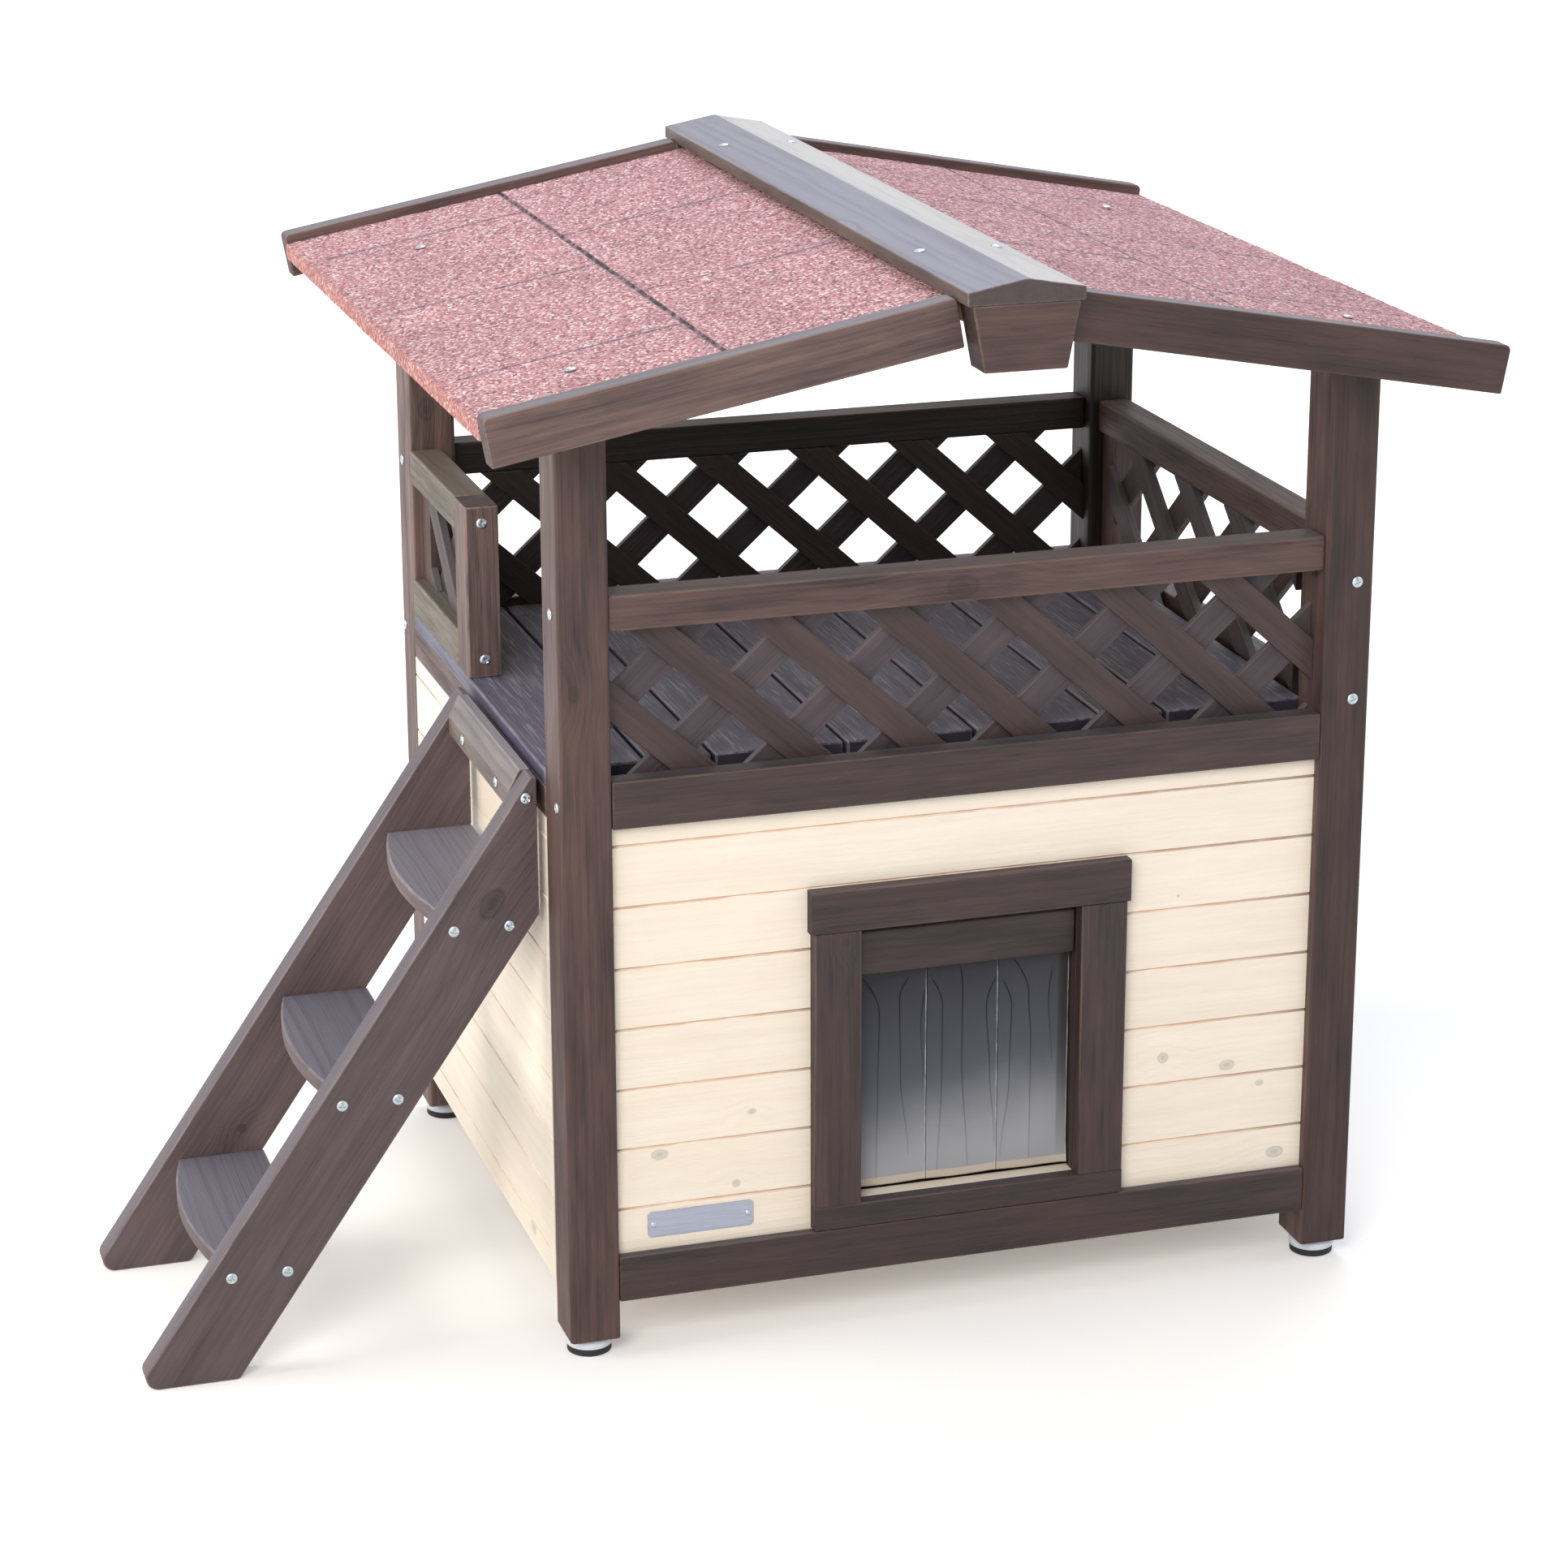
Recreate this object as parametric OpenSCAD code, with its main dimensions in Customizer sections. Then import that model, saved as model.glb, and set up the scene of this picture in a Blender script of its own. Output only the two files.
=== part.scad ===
/* [House body] */
// Width of the house over the posts
body_w = 590; // [520:1:700]
// Depth of the house over the posts
body_d = 495; // [440:1:600]
// Height of the deck surface above the floor
deck_z = 423.5; // [380:0.5:480]
// Height of the roof underside at the outer faces of the posts
eave_z = 687.5; // [620:0.5:800]

/* [Posts and feet] */
// Post width, seen from the front
post_w = 36; // [28:1:50]
// Post depth, seen from the side
post_d = 42; // [30:1:55]
// Rounding of the upright post edges
post_round = 3; // [1:0.5:5]
// Diameter of the screw-on feet
foot_d = 33; // [24:1:36]
// Height of the white glide of a foot
glide_h = 9; // [5:0.5:14]
// Height of the black sole of a foot
sole_h = 5; // [2:0.5:8]

/* [Rails and walls] */
// Height of the horizontal rails
rail_h = 34; // [26:1:44]
// Thickness of the rails round the deck
rail_t = 17; // [14:0.5:20]
// Thickness of the cover rail at the foot of a wall
base_rail_t = 8; // [5:0.5:12]
// Underside of the base rails above the floor
base_rail_z = 41.5; // [30:0.5:60]
// Underside of the wall boards above the floor
wall_z = 45; // [34:0.5:60]
// Wall board thickness
wall_t = 12; // [9:0.5:16]
// Visible height of one wall board
board_pitch = 44.5; // [36:0.5:60]
// Height of the highest groove above the floor
groove_z = 375.3; // [360:0.1:380]
// Depth of the bevel along the wall board edges
bevel = 2; // [1:0.1:3]
// Distance of the front rails behind the post faces
rail_recess = 0.5; // [0:0.1:3]

/* [Floor and deck] */
// Thickness of the cabin floor
floor_t = 8; // [5:0.5:15]
// Side of the square battens that carry the cabin floor
bearer = 20; // [14:1:28]
// Width of a deck board
deck_board_w = 44.6; // [35:0.1:60]
// Width of the deck board at the stairs
deck_edge_w = 70; // [50:0.5:90]
// Gap between two deck boards
deck_gap = 3; // [1:0.5:6]
// Deck board thickness
deck_t = 12; // [8:0.5:18]
// Height of the beams under the deck boards
deck_beam_h = 20; // [14:1:30]
// Width of the beams under the deck boards
deck_beam_w = 30; // [20:1:40]

/* [Handrails] */
// Side of the square handrails and battens
handrail = 25; // [20:1:30]
// Top of the handrails above the deck
handrail_top = 128.5; // [110:0.5:150]
// Distance of the handrails behind the post faces
handrail_recess = 4.5; // [0:0.5:5]
// Width of the stairway opening along the left side
entry_w = 226; // [205:1:260]
// Depth of the short post beside the stairway
newel_d = 35; // [25:1:45]
// Height of the lower rail in the short left panel
left_rail_h = 27.5; // [20:0.5:36]
// Distance of the left laths behind the outer face of their rails
left_lath_in = 8.5; // [4:0.5:12]

/* [Lattice] */
// Width of one lath
lath_w = 22; // [16:1:28]
// Thickness of one lath
lath_t = 6; // [3:0.5:6]
// Slope of the laths from level
lath_angle = 42.2; // [35:0.1:50]
// Spacing of the laths along the front and back
lath_pitch = 82.5; // [65:0.5:100]
// Spacing of the laths along the sides
side_pitch = 96; // [80:0.5:110]
// Slope of the laths in the right panel
side_angle = 40; // [35:0.1:50]

/* [Door] */
// Width of the doorway
door_w = 163; // [140:1:200]
// Height of the doorway
door_h = 204.5; // [180:0.5:220]
// Height of the doorway's lower edge above the floor
door_z = 94.5; // [88:0.5:110]
// Distance of the doorway's centre from the left post face
door_x = 294; // [260:1:330]
// Width of the door jambs
jamb_w = 34.5; // [25:0.5:45]
// Height of the lintel
lintel_h = 31; // [22:0.5:40]
// Overhang of the lintel past the jambs
lintel_over = 2.2; // [0:0.1:5]
// Height of the board under the doorway
sill_h = 18; // [12:0.5:24]
// Thickness of the door frame boards
frame_t = 10; // [8:0.5:15]
// Height of the bar that clamps the door strips
bar_h = 32; // [24:1:40]
// Thickness of the bar that clamps the door strips
bar_t = 10; // [6:0.5:12]
// Gap round the bar in the doorway
bar_gap = 1.5; // [1:0.1:3]
// Thickness of the clear door strips
strip_t = 2; // [1:0.1:2.5]
// Gap between two door strips
strip_gap = 0.6; // [0.4:0.1:3]
// Gap under the door strips
strip_rise = 2.5; // [1:0.1:10]
// Gap between the bar and the round top edge of a door strip
hinge_drop = 0.5; // [0.4:0.1:2]
// Width of the blank name plate
plate_w = 77; // [50:1:100]
// Height of the blank name plate
plate_h = 19; // [12:0.5:26]
// Thickness of the blank name plate
plate_t = 1; // [0.5:0.1:2]

/* [Stairs] */
// Slope of the stairs
stair_angle = 55.3; // [50:0.1:60]
// Width of a stringer, square to its edges
stringer_w = 60; // [50:1:75]
// Thickness of a stringer
stringer_t = 20; // [14:0.5:26]
// Distance of the front stringer behind the front post faces
stair_y = 45.5; // [43:0.5:60]
// Clear width between the stringers
stair_inner = 184.5; // [160:0.5:200]
// Gap between the stairs and the deck edge
stair_gap = 5; // [2:0.5:12]
// Drop from the deck to the top of the stringers
stair_drop = 5.5; // [0:0.5:15]
// Rise from one tread to the next
tread_rise = 118; // [100:1:130]
// Drop from the deck to the upper tread
tread_drop = 104.5; // [90:0.5:115]
// Tread depth at the middle of its round nose
tread_depth = 75.5; // [65:0.5:85]
// Height of the round nose over its chord
nose_rise = 12.7; // [5:0.1:20]
// Tread thickness
tread_t = 12; // [9:0.5:16]
// Rounding of the toe of a stringer
toe_round = 9; // [2:0.5:12]
// Rounding of the heel of a stringer
heel_round = 5; // [2:0.5:8]

/* [Roof] */
// Slope of the roof
roof_angle = 10.33; // [8:0.01:16]
// Overhang of the roof beyond the posts at the sides
side_over = 60.2; // [40:0.1:90]
// Overhang of the roof panels in front of the posts
front_over = 51; // [40:0.5:80]
// Overhang of the roof panels behind the posts
back_over = 104.4; // [60:0.1:130]
// Roof board thickness
roof_t = 9; // [6:0.5:15]
// Felt thickness
felt_t = 2.7; // [2:0.1:4]
// Height of the barge boards
barge_h = 33.7; // [26:0.1:44]
// Thickness of the barge boards
barge_t = 17; // [12:0.5:22]
// Rise of the barge boards over the felt
barge_rise = 6.8; // [0:0.1:12]
// Length of the barge boards past the eaves
barge_past = 2.5; // [0:0.1:10]
// Distance of the lap between the two felt courses from the ridge
felt_seam = 184; // [120:1:240]
// Depth of the rafters along the house
rafter_t = 20; // [14:1:28]
// Height of the rafters
rafter_h = 28; // [20:1:36]

/* [Ridge] */
// Width of the ridge cap
cap_w = 81.6; // [60:0.1:110]
// Height of the ridge cap at its long edges
cap_edge = 9.2; // [6:0.1:14]
// Length of the ridge cap past the front barge boards
cap_front = 19; // [5:0.5:30]
// Length of the ridge cap past the back barge boards
cap_back = 15.5; // [5:0.5:30]
// Half the gap between the roof panels at the ridge
ridge_half_gap = 19.5; // [10:0.5:25]
// Width of a ridge end block at its top
block_top = 75; // [50:0.5:100]
// Width of a ridge end block at its foot
block_foot = 58; // [40:0.5:70]
// Height of a ridge end block
block_h = 44.5; // [30:0.5:60]
// Thickness of a ridge end block
block_t = 27; // [15:0.5:30]

/* [Screws] */
// Diameter of a screw head
head_d = 8; // [6:0.5:10]
// Height of a screw head
head_h = 1.4; // [0.8:0.1:2]
// Diameter of a screw shank
shank_d = 3.6; // [2.5:0.1:4.5]

/* [Hidden] */
$fn = 48;
// Clearance round a screw shank in its hole
hole_gap = 0.05;
// Clearance between parts that bear on each other along an edge
edge_gap = 0.15;
// Clearance between two wall boards
board_gap = 0.2;
// Height of the tongue of a wall board
tongue_h = 4;
// Thickness of the tongue of a wall board
tongue_t = 4;
// Width of the cut that marks a lap or slot in the felt
felt_cut = 2.5;
// Depth of that cut
felt_cut_depth = 1.2;
// Spacing of the slots along one felt course
slot_pitch = 222;
// Distance of the first slot behind the front barge, upper and lower course
slot_first = [231, 120];
// Depth of the screws in the wood behind the first board
bite = 22;

// Where a lath of each panel crosses the deck level, from the panel's near end:
// the falling layer and the rising layer
front_laths = [-21, 38.4];
back_laths = [-12.3, 27.4];
right_laths = [320, 89];
// The same for the short left panel, and its lath spacing, as shares of its length
left_laths = [1.152, 0.096];
left_pitch = 0.66;
// Rise of a left lath over the length of its panel
left_lath_rise = 113.34;
// Depth of the front and back laths below the deck
lath_drop = 8;
// Gap between the deck boards and the laths of the right panel
deck_side_gap = 3.5;
// Overhang of the deck beams in front of the board ends
beam_nose = 14;
// Clearance round the round top edge of a strip
hinge_gap = 0.3;
// Overlap of the cleat behind the strips on the wall
cleat_over = 18;
// Drop from the lintel to the top of the strip bar
bar_drop = 5;
// Left and lower edge of the name plate
plate_x = 58.5;
plate_z = 84.5;
// Diameter of the plate's pins, and their distance from its ends
plate_pin_d = 2.4;
plate_pin_in = 4;
// Distance of the battens' screws from the batten ends
batten_screw_in = 9;
// Gap between the barge boards and the ridge cap
barge_gap = 0.8;
// Distance of the felt's slots from its eave edge
slot_end = 14;
// Distance of the sole's rim inside the glide's rim
sole_in = 0.75;

// Level length of a stringer's top
stair_flat = 4.5;
// Thickness and height of the board between the stringer tops
top_board_t = 15;
top_board_h = 29;
// Distance of the tread screws from the back edge of a tread
tread_screws = [21, 60];
// Where the top board's screws sit: along it, and up from its lower edge
hang_share = [0.2, 0.75];
hang_rise = 9;
// Distance of a screw's tip from the back of the last board
tip_gap = 3;
// Share of a screw head's height that is a straight rim, and width of its flat
head_rim = 0.4;
head_flat = 0.6;
// Length of the ridge cap's screws, and their distance from the panels' ridge edges
cap_screw_l = 42;
cap_screw_in = 8;
// Distance of the ridge cap's screws from the outer faces of the rafters
cap_screw_end = 5;

foot_h = glide_h + sole_h;
mid_x = body_w / 2;
roof_slope = tan(roof_angle);
roof_rise = 1 / cos(roof_angle);
// Roof heights at the ridge line
under_z = eave_z + mid_x * roof_slope;
felt_z = under_z + (roof_t + felt_t) * roof_rise;
barge_top = felt_z + barge_rise;
half_roof = mid_x + side_over;
roof_front = -front_over;
roof_back = body_d + back_over;
cap_z = felt_z - ridge_half_gap * roof_slope + edge_gap;
cap_y0 = roof_front - barge_t - cap_front;
cap_y1 = roof_back + barge_t + cap_back;

// Rails and the left panel
deck_rail_z = deck_z - rail_h;
handrail_z = deck_z + handrail_top - handrail;
newel_y = post_d + entry_w;
left_panel_y = newel_y + newel_d;
left_len = body_d - post_d - handrail - left_panel_y;

// Wall planes
wall_y = rail_recess + base_rail_t;
wall_back_y = body_d - wall_y - wall_t;
floor_z = wall_z + bearer;

// Door
door_x0 = door_x - door_w / 2;
door_x1 = door_x + door_w / 2;
door_top = door_z + door_h;
bar_w = door_w - 2 * bar_gap;
bar_z1 = door_top - bar_drop;
bar_z0 = bar_z1 - bar_h;
strip_y = wall_y + wall_t - strip_t;
hinge_z = bar_z0 - hinge_drop - strip_t / 2;
strip_w = (bar_w - 2 * strip_gap) / 3;

// Stairs
stair_run = 1 / tan(stair_angle);
stair_x = -stair_gap;
stair_top = deck_z - stair_drop;
stringer_run = stringer_w / sin(stair_angle);
stair_y1 = stair_y + stringer_t;
stair_y2 = stair_y1 + stair_inner;
toe_x = stair_x - stair_flat - stair_top * stair_run;
heel_x = toe_x + stringer_run;

// Middle of the whole object's box, which sets the origin
min_x = toe_x + toe_round * (1 / tan(stair_angle / 2) - 1);
barge_end = half_roof + barge_past;
max_x = mid_x + barge_end;
origin_x = (min_x + max_x) / 2;
origin_y = (cap_y0 + cap_y1) / 2;

dark = "#5b4a44";
darker = "#4a3d3c";
cream = "#f5e3c3";
felt_red = "#b87878";
steel = "#bec8cd";
grey_wood = "#7d7c8c";

// Moves the house frame so that the origin is under the middle of the whole object
module placed() {
    translate([-origin_x, -origin_y, 0])
        children();
}

// A box from its low corner to its high corner
module bar_between(low, high) {
    translate(low)
        cube(high - low);
}

// A screw with its head on the plane z = 0, pointing down
module screw(length) {
    cylinder(h = head_h * head_rim, d = head_d);
    translate([0, 0, head_h * head_rim])
        cylinder(h = head_h * (1 - head_rim), d1 = head_d, d2 = head_d * head_flat);
    translate([0, 0, -length])
        cylinder(h = length, d = shank_d);
}

module screw_hole(length) {
    translate([0, 0, -length - 1])
        cylinder(h = length + 2, d = shank_d + 2 * hole_gap);
}

// Places its children at each point with their +Z axis along dir
module at_points(points, dir) {
    turn = dir == "front" ? [90, 0, 0]
         : dir == "back" ? [-90, 0, 0]
         : dir == "left" ? [0, -90, 0]
         : dir == "right" ? [0, 90, 0]
         : [0, 0, 0];
    for (p = points)
        translate(p)
            rotate(turn)
                children();
}

// Screws of the frame: through the posts into rails and battens
rail_mid_z = deck_z - rail_h / 2;
handrail_mid_z = handrail_z + handrail / 2;
side_mid = body_w - handrail / 2;
front_post_screws = [
    [side_mid, 0, handrail_z - batten_screw_in],
    [side_mid, 0, deck_z + batten_screw_in]
];
back_post_screws = [for (p = front_post_screws) [p[0], body_d, p[2]]];
left_post_screws = [
    [0, body_d - handrail_recess - handrail / 2, handrail_mid_z],
    [0, body_d - rail_recess - rail_t / 2, rail_mid_z],
    [0, handrail_recess + handrail / 2, handrail_mid_z],
    [0, rail_recess + rail_t / 2, rail_mid_z]
];
right_post_screws = [for (p = left_post_screws) [body_w, p[1], p[2]]];
newel_screws = [
    [handrail / 2, newel_y, handrail_mid_z],
    [handrail / 2, newel_y, deck_z + left_rail_h / 2]
];

// Screws of the stairs
tread_z = [for (i = [0:2]) deck_z - tread_drop - i * tread_rise];
tread_x = [for (i = [0:2]) stair_x - i * tread_rise * stair_run];
stair_side_screws = concat(
    [for (i = [0:2]) for (s = tread_screws) [tread_x[i] - s, tread_z[i] - tread_t / 2]],
    [[stair_x - top_board_t / 2, stair_top - top_board_h / 2]]
);
front_stair_screws = [for (s = stair_side_screws) [s[0], stair_y, s[1]]];
back_stair_screws = [for (s = stair_side_screws) [s[0], stair_y2 + stringer_t, s[1]]];
hang_screws = [
    for (k = hang_share)
        [stair_x - top_board_t, stair_y1 + k * stair_inner, stair_top - top_board_h + hang_rise]
];
hang_screw_l = top_board_t + stair_gap + rail_t - tip_gap;

// Screws of the roof: distance from the ridge line, and place along the house
rafter_y = [post_d, body_d];
cap_screw_x = ridge_half_gap + cap_screw_in;
cap_screw_y = [rafter_y[0] + cap_screw_end, rafter_y[1] + rafter_t - cap_screw_end];
cap_top = cap_z + cap_edge + cap_w / 2 * roof_slope;
post_screw_x = mid_x - post_w / 2;
post_screw_y = [post_d / 2, body_d - post_d / 2];
post_screw_l = roof_t + felt_t + bite;

// Places its children square on both roof slopes, at a distance from the ridge line
module at_slopes(x, ys, ridge_z) {
    for (side = [-1, 1], y = ys)
        translate([mid_x + side * x, y, ridge_z - x * roof_slope])
            rotate([0, side * roof_angle, 0])
                children();
}

// Posts
module post(x, y) {
    color(dark)
        placed()
            difference() {
                translate([x, y, foot_h])
                    linear_extrude(height = felt_z)
                        post_outline();
                above_roof_underside();
                at_points(front_post_screws, "front")
                    screw_hole(post_d);
                at_points(back_post_screws, "back")
                    screw_hole(post_d);
                at_points(left_post_screws, "left")
                    screw_hole(post_w);
                at_points(right_post_screws, "right")
                    screw_hole(post_w);
                at_slopes(post_screw_x, post_screw_y, felt_z)
                    screw_hole(post_screw_l);
            }
}

module post_outline() {
    translate([post_round, 0])
        square([post_w - 2 * post_round, post_d]);
    translate([0, post_round])
        square([post_w, post_d - 2 * post_round]);
    for (cx = [post_round, post_w - post_round], cy = [post_round, post_d - post_round])
        translate([cx, cy])
            circle(r = post_round);
}

// Everything above the underside of the roof boards
module above_roof_underside() {
    reach = body_w + body_d;
    translate([0, -reach, 0])
        rotate([90, 0, 0])
            mirror([0, 0, 1])
                linear_extrude(height = 3 * reach)
                    polygon([
                        [mid_x - reach, under_z - reach * roof_slope],
                        [mid_x, under_z],
                        [mid_x + reach, under_z - reach * roof_slope],
                        [mid_x + reach, under_z + reach],
                        [mid_x - reach, under_z + reach]
                    ]);
}

module post_front_left() {
    post(0, 0);
}

module post_front_right() {
    post(body_w - post_w, 0);
}

module post_back_left() {
    post(0, body_d - post_d);
}

module post_back_right() {
    post(body_w - post_w, body_d - post_d);
}

// Feet
module at_feet() {
    placed()
        for (x = [post_w / 2, body_w - post_w / 2], y = [post_d / 2, body_d - post_d / 2])
            translate([x, y, 0])
                children();
}

module foot_glides() {
    color("white")
        at_feet()
            translate([0, 0, sole_h])
                cylinder(h = glide_h, d = foot_d);
}

module foot_soles() {
    color("#1a1a1a")
        at_feet()
            cylinder(h = sole_h, d = foot_d - 2 * sole_in);
}

// Base rails: thin cover boards in front of the lowest wall board
module base_rail(y) {
    color(darker)
        placed()
            bar_between([post_w, y, base_rail_z],
                        [body_w - post_w, y + base_rail_t, base_rail_z + rail_h]);
}

module base_rail_front() {
    base_rail(rail_recess);
}

module base_rail_back() {
    base_rail(body_d - rail_recess - base_rail_t);
}

// Floor of the cabin and the battens under it
module floor_bearers() {
    color(cream)
        placed()
            for (x = [wall_t, body_w - wall_t - bearer])
                bar_between([x, post_d, wall_z], [x + bearer, body_d - post_d, floor_z]);
}

module floor_panel() {
    color("#d8c3a0")
        placed()
            difference() {
                bar_between([wall_t, wall_y + wall_t, floor_z],
                            [body_w - wall_t, wall_back_y, floor_z + floor_t]);
                for (x = [0, body_w - post_w], y = [0, body_d - post_d])
                    bar_between([x, y, wall_z], [x + post_w, y + post_d, deck_z]);
            }
}

// Section of one wall board: outer face at x = 0, its lower groove at z = 0
module board_section(height, tongue) {
    mid = wall_t / 2;
    half = tongue_t / 2;
    slack = board_gap;
    body = [
        [0, bevel], [bevel, 0],
        [mid - half - slack, 0], [mid - half - slack, tongue_h + slack],
        [mid + half + slack, tongue_h + slack], [mid + half + slack, 0],
        [wall_t, 0], [wall_t, height]
    ];
    top = tongue
        ? [[mid + half, height], [mid + half, height + tongue_h],
           [mid - half, height + tongue_h], [mid - half, height],
           [bevel, height], [0, height - bevel]]
        : [[0, height]];
    polygon(concat(body, top));
}

// A wall of boards: outer face at y = 0, running along +X, clipped at its foot and top
module wall_boards(length, top_z) {
    low = wall_z;
    lowest = groove_z - floor((groove_z - low) / board_pitch + 1) * board_pitch;
    boards = ceil((top_z - lowest) / board_pitch);
    intersection() {
        bar_between([0, -1, low], [length, wall_t + 1, top_z]);
        for (i = [0:boards - 1])
            translate([0, 0, lowest + i * board_pitch])
                rotate([90, 0, 90])
                    linear_extrude(height = length)
                        board_section(board_pitch - board_gap, i < boards - 1);
    }
}

module doorway_cut() {
    bar_between([door_x0, -frame_t, door_z], [door_x1, wall_y + wall_t + 1, door_top]);
}

module wall_front() {
    color(cream)
        placed()
            difference() {
                translate([post_w, wall_y, 0])
                    wall_boards(body_w - 2 * post_w, deck_rail_z);
                doorway_cut();
            }
}

module wall_back() {
    color(cream)
        placed()
            translate([body_w - post_w, body_d - wall_y, 0])
                rotate([0, 0, 180])
                    wall_boards(body_w - 2 * post_w, deck_rail_z);
}

module wall_left() {
    color(cream)
        placed()
            translate([0, body_d - post_d, 0])
                rotate([0, 0, -90])
                    wall_boards(body_d - 2 * post_d, deck_rail_z);
}

module wall_right() {
    color(cream)
        placed()
            translate([body_w, post_d, 0])
                rotate([0, 0, 90])
                    wall_boards(body_d - 2 * post_d, deck_rail_z);
}

// Rails round the deck
module deck_rail_front() {
    color(dark)
        placed()
            difference() {
                bar_between([post_w, rail_recess, deck_rail_z],
                            [body_w - post_w, rail_recess + rail_t, deck_z]);
                at_points(left_post_screws, "left")
                    screw_hole(post_w + bite);
                at_points(right_post_screws, "right")
                    screw_hole(post_w + bite);
            }
}

module deck_rail_back() {
    color(dark)
        placed()
            difference() {
                bar_between([post_w, body_d - rail_recess - rail_t, deck_rail_z],
                            [body_w - post_w, body_d - rail_recess, deck_z]);
                at_points(left_post_screws, "left")
                    screw_hole(post_w + bite);
                at_points(right_post_screws, "right")
                    screw_hole(post_w + bite);
            }
}

module deck_rail_left() {
    color(dark)
        placed()
            difference() {
                bar_between([0, post_d, deck_rail_z], [rail_t, body_d - post_d, deck_z - deck_t]);
                at_points(hang_screws, "left")
                    screw_hole(hang_screw_l);
            }
}

module deck_rail_right() {
    color(dark)
        placed()
            bar_between([body_w - rail_t, post_d, deck_rail_z],
                        [body_w, body_d - post_d, deck_z]);
}

// Beams under the deck boards, notched round the posts, and the boards
deck_beam_z = deck_z - deck_t - deck_beam_h;
deck_beam_y = [post_d - beam_nose, (body_d - deck_beam_w) / 2, body_d - post_d + beam_nose - deck_beam_w];

module deck_beams() {
    color(darker)
        placed()
            difference() {
                for (y = deck_beam_y)
                    bar_between([rail_t, y, deck_beam_z],
                                [body_w - rail_t, y + deck_beam_w, deck_beam_z + deck_beam_h]);
                for (x = [0, body_w - post_w], y = [0, body_d - post_d])
                    bar_between([x, y, deck_beam_z - 1], [x + post_w, y + post_d, deck_z]);
            }
}

deck_x1 = body_w - rail_t - 2 * lath_t - deck_side_gap;
deck_pitch = deck_board_w + deck_gap;
deck_edges = [for (x = deck_edge_w + deck_gap; x < deck_x1 - deck_pitch; x = x + deck_pitch) x];
deck_last = deck_edges[len(deck_edges) - 1];

module deck_board(x0, x1) {
    bar_between([x0, post_d, deck_z - deck_t], [x1, body_d - post_d, deck_z]);
}

module deck_boards() {
    color("#4a4a55")
        placed() {
            deck_board(0, deck_edge_w);
            for (x = deck_edges)
                if (x < deck_last)
                    deck_board(x, x + deck_board_w);
            deck_board(deck_last, deck_x1);
        }
}

// Handrails
module handrail_x(y) {
    color(dark)
        placed()
            difference() {
                bar_between([post_w, y, handrail_z],
                            [body_w - post_w, y + handrail, handrail_z + handrail]);
                at_points(left_post_screws, "left")
                    screw_hole(post_w + bite);
                at_points(right_post_screws, "right")
                    screw_hole(post_w + bite);
            }
}

module handrail_front() {
    handrail_x(handrail_recess);
}

module handrail_back() {
    handrail_x(body_d - handrail_recess - handrail);
}

module handrail_right() {
    color(dark)
        placed()
            bar_between([body_w - handrail_recess - handrail, post_d, handrail_z],
                        [body_w - handrail_recess, body_d - post_d, handrail_z + handrail]);
}

module handrail_left() {
    color(dark)
        placed()
            difference() {
                bar_between([0, left_panel_y, handrail_z],
                            [handrail, body_d - post_d, handrail_z + handrail]);
                at_points(newel_screws, "front")
                    screw_hole(newel_d + bite);
            }
}

module newel() {
    color(dark)
        placed()
            difference() {
                bar_between([0, newel_y, deck_z],
                            [handrail, left_panel_y, handrail_z + handrail]);
                at_points(newel_screws, "front")
                    screw_hole(newel_d);
            }
}

module lattice_rail_left() {
    color(dark)
        placed()
            difference() {
                bar_between([0, left_panel_y, deck_z],
                            [handrail, body_d - post_d, deck_z + left_rail_h]);
                at_points(newel_screws, "front")
                    screw_hole(newel_d + bite);
            }
}

// Upright battens at the ends of the side panels
module lattice_battens() {
    far_y = body_d - post_d - handrail;
    color(dark)
        placed()
            difference() {
                union() {
                    for (y = [post_d, far_y])
                        bar_between([body_w - handrail, y, deck_z], [body_w, y + handrail, handrail_z]);
                    bar_between([left_lath_in, far_y, deck_z + left_rail_h],
                                [left_lath_in + 2 * lath_t, far_y + handrail, handrail_z]);
                }
                at_points(front_post_screws, "front")
                    screw_hole(post_d + bite);
                at_points(back_post_screws, "back")
                    screw_hole(post_d + bite);
            }
}

// One layer of laths in the plane x-z, clipped to a window; start is where a lath's
// middle line crosses the deck level, and a negative angle falls towards +X
module lath_layer(x0, x1, z0, z1, pitch, angle, start) {
    reach = (z1 - deck_z) + lath_drop + lath_w;
    spread = reach / abs(tan(angle));
    first = ceil((x0 - spread - start) / pitch);
    last = floor((x1 + spread - start) / pitch);
    half = reach / abs(sin(angle)) + lath_w;
    intersection() {
        bar_between([x0, 0, z0], [x1, lath_t, z1]);
        for (i = [first:last])
            translate([start + i * pitch, 0, deck_z])
                rotate([0, -angle, 0])
                    translate([-half, 0, -lath_w / 2])
                        cube([2 * half, lath_t, lath_w]);
    }
}

// Crossed laths: the near layer falls towards +X, the far layer rises
module lattice(x0, x1, z0, z1, pitch, angle, starts) {
    lath_layer(x0, x1, z0, z1, pitch, -angle, x0 + starts[0]);
    translate([0, lath_t, 0])
        lath_layer(x0, x1, z0, z1, pitch, angle, x0 + starts[1]);
}

front_lath_y = rail_recess + rail_t;

module lattice_front() {
    color(dark)
        placed()
            translate([0, front_lath_y, 0])
                lattice(post_w, body_w - post_w, deck_z - lath_drop, handrail_z,
                        lath_pitch, lath_angle, front_laths);
}

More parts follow.
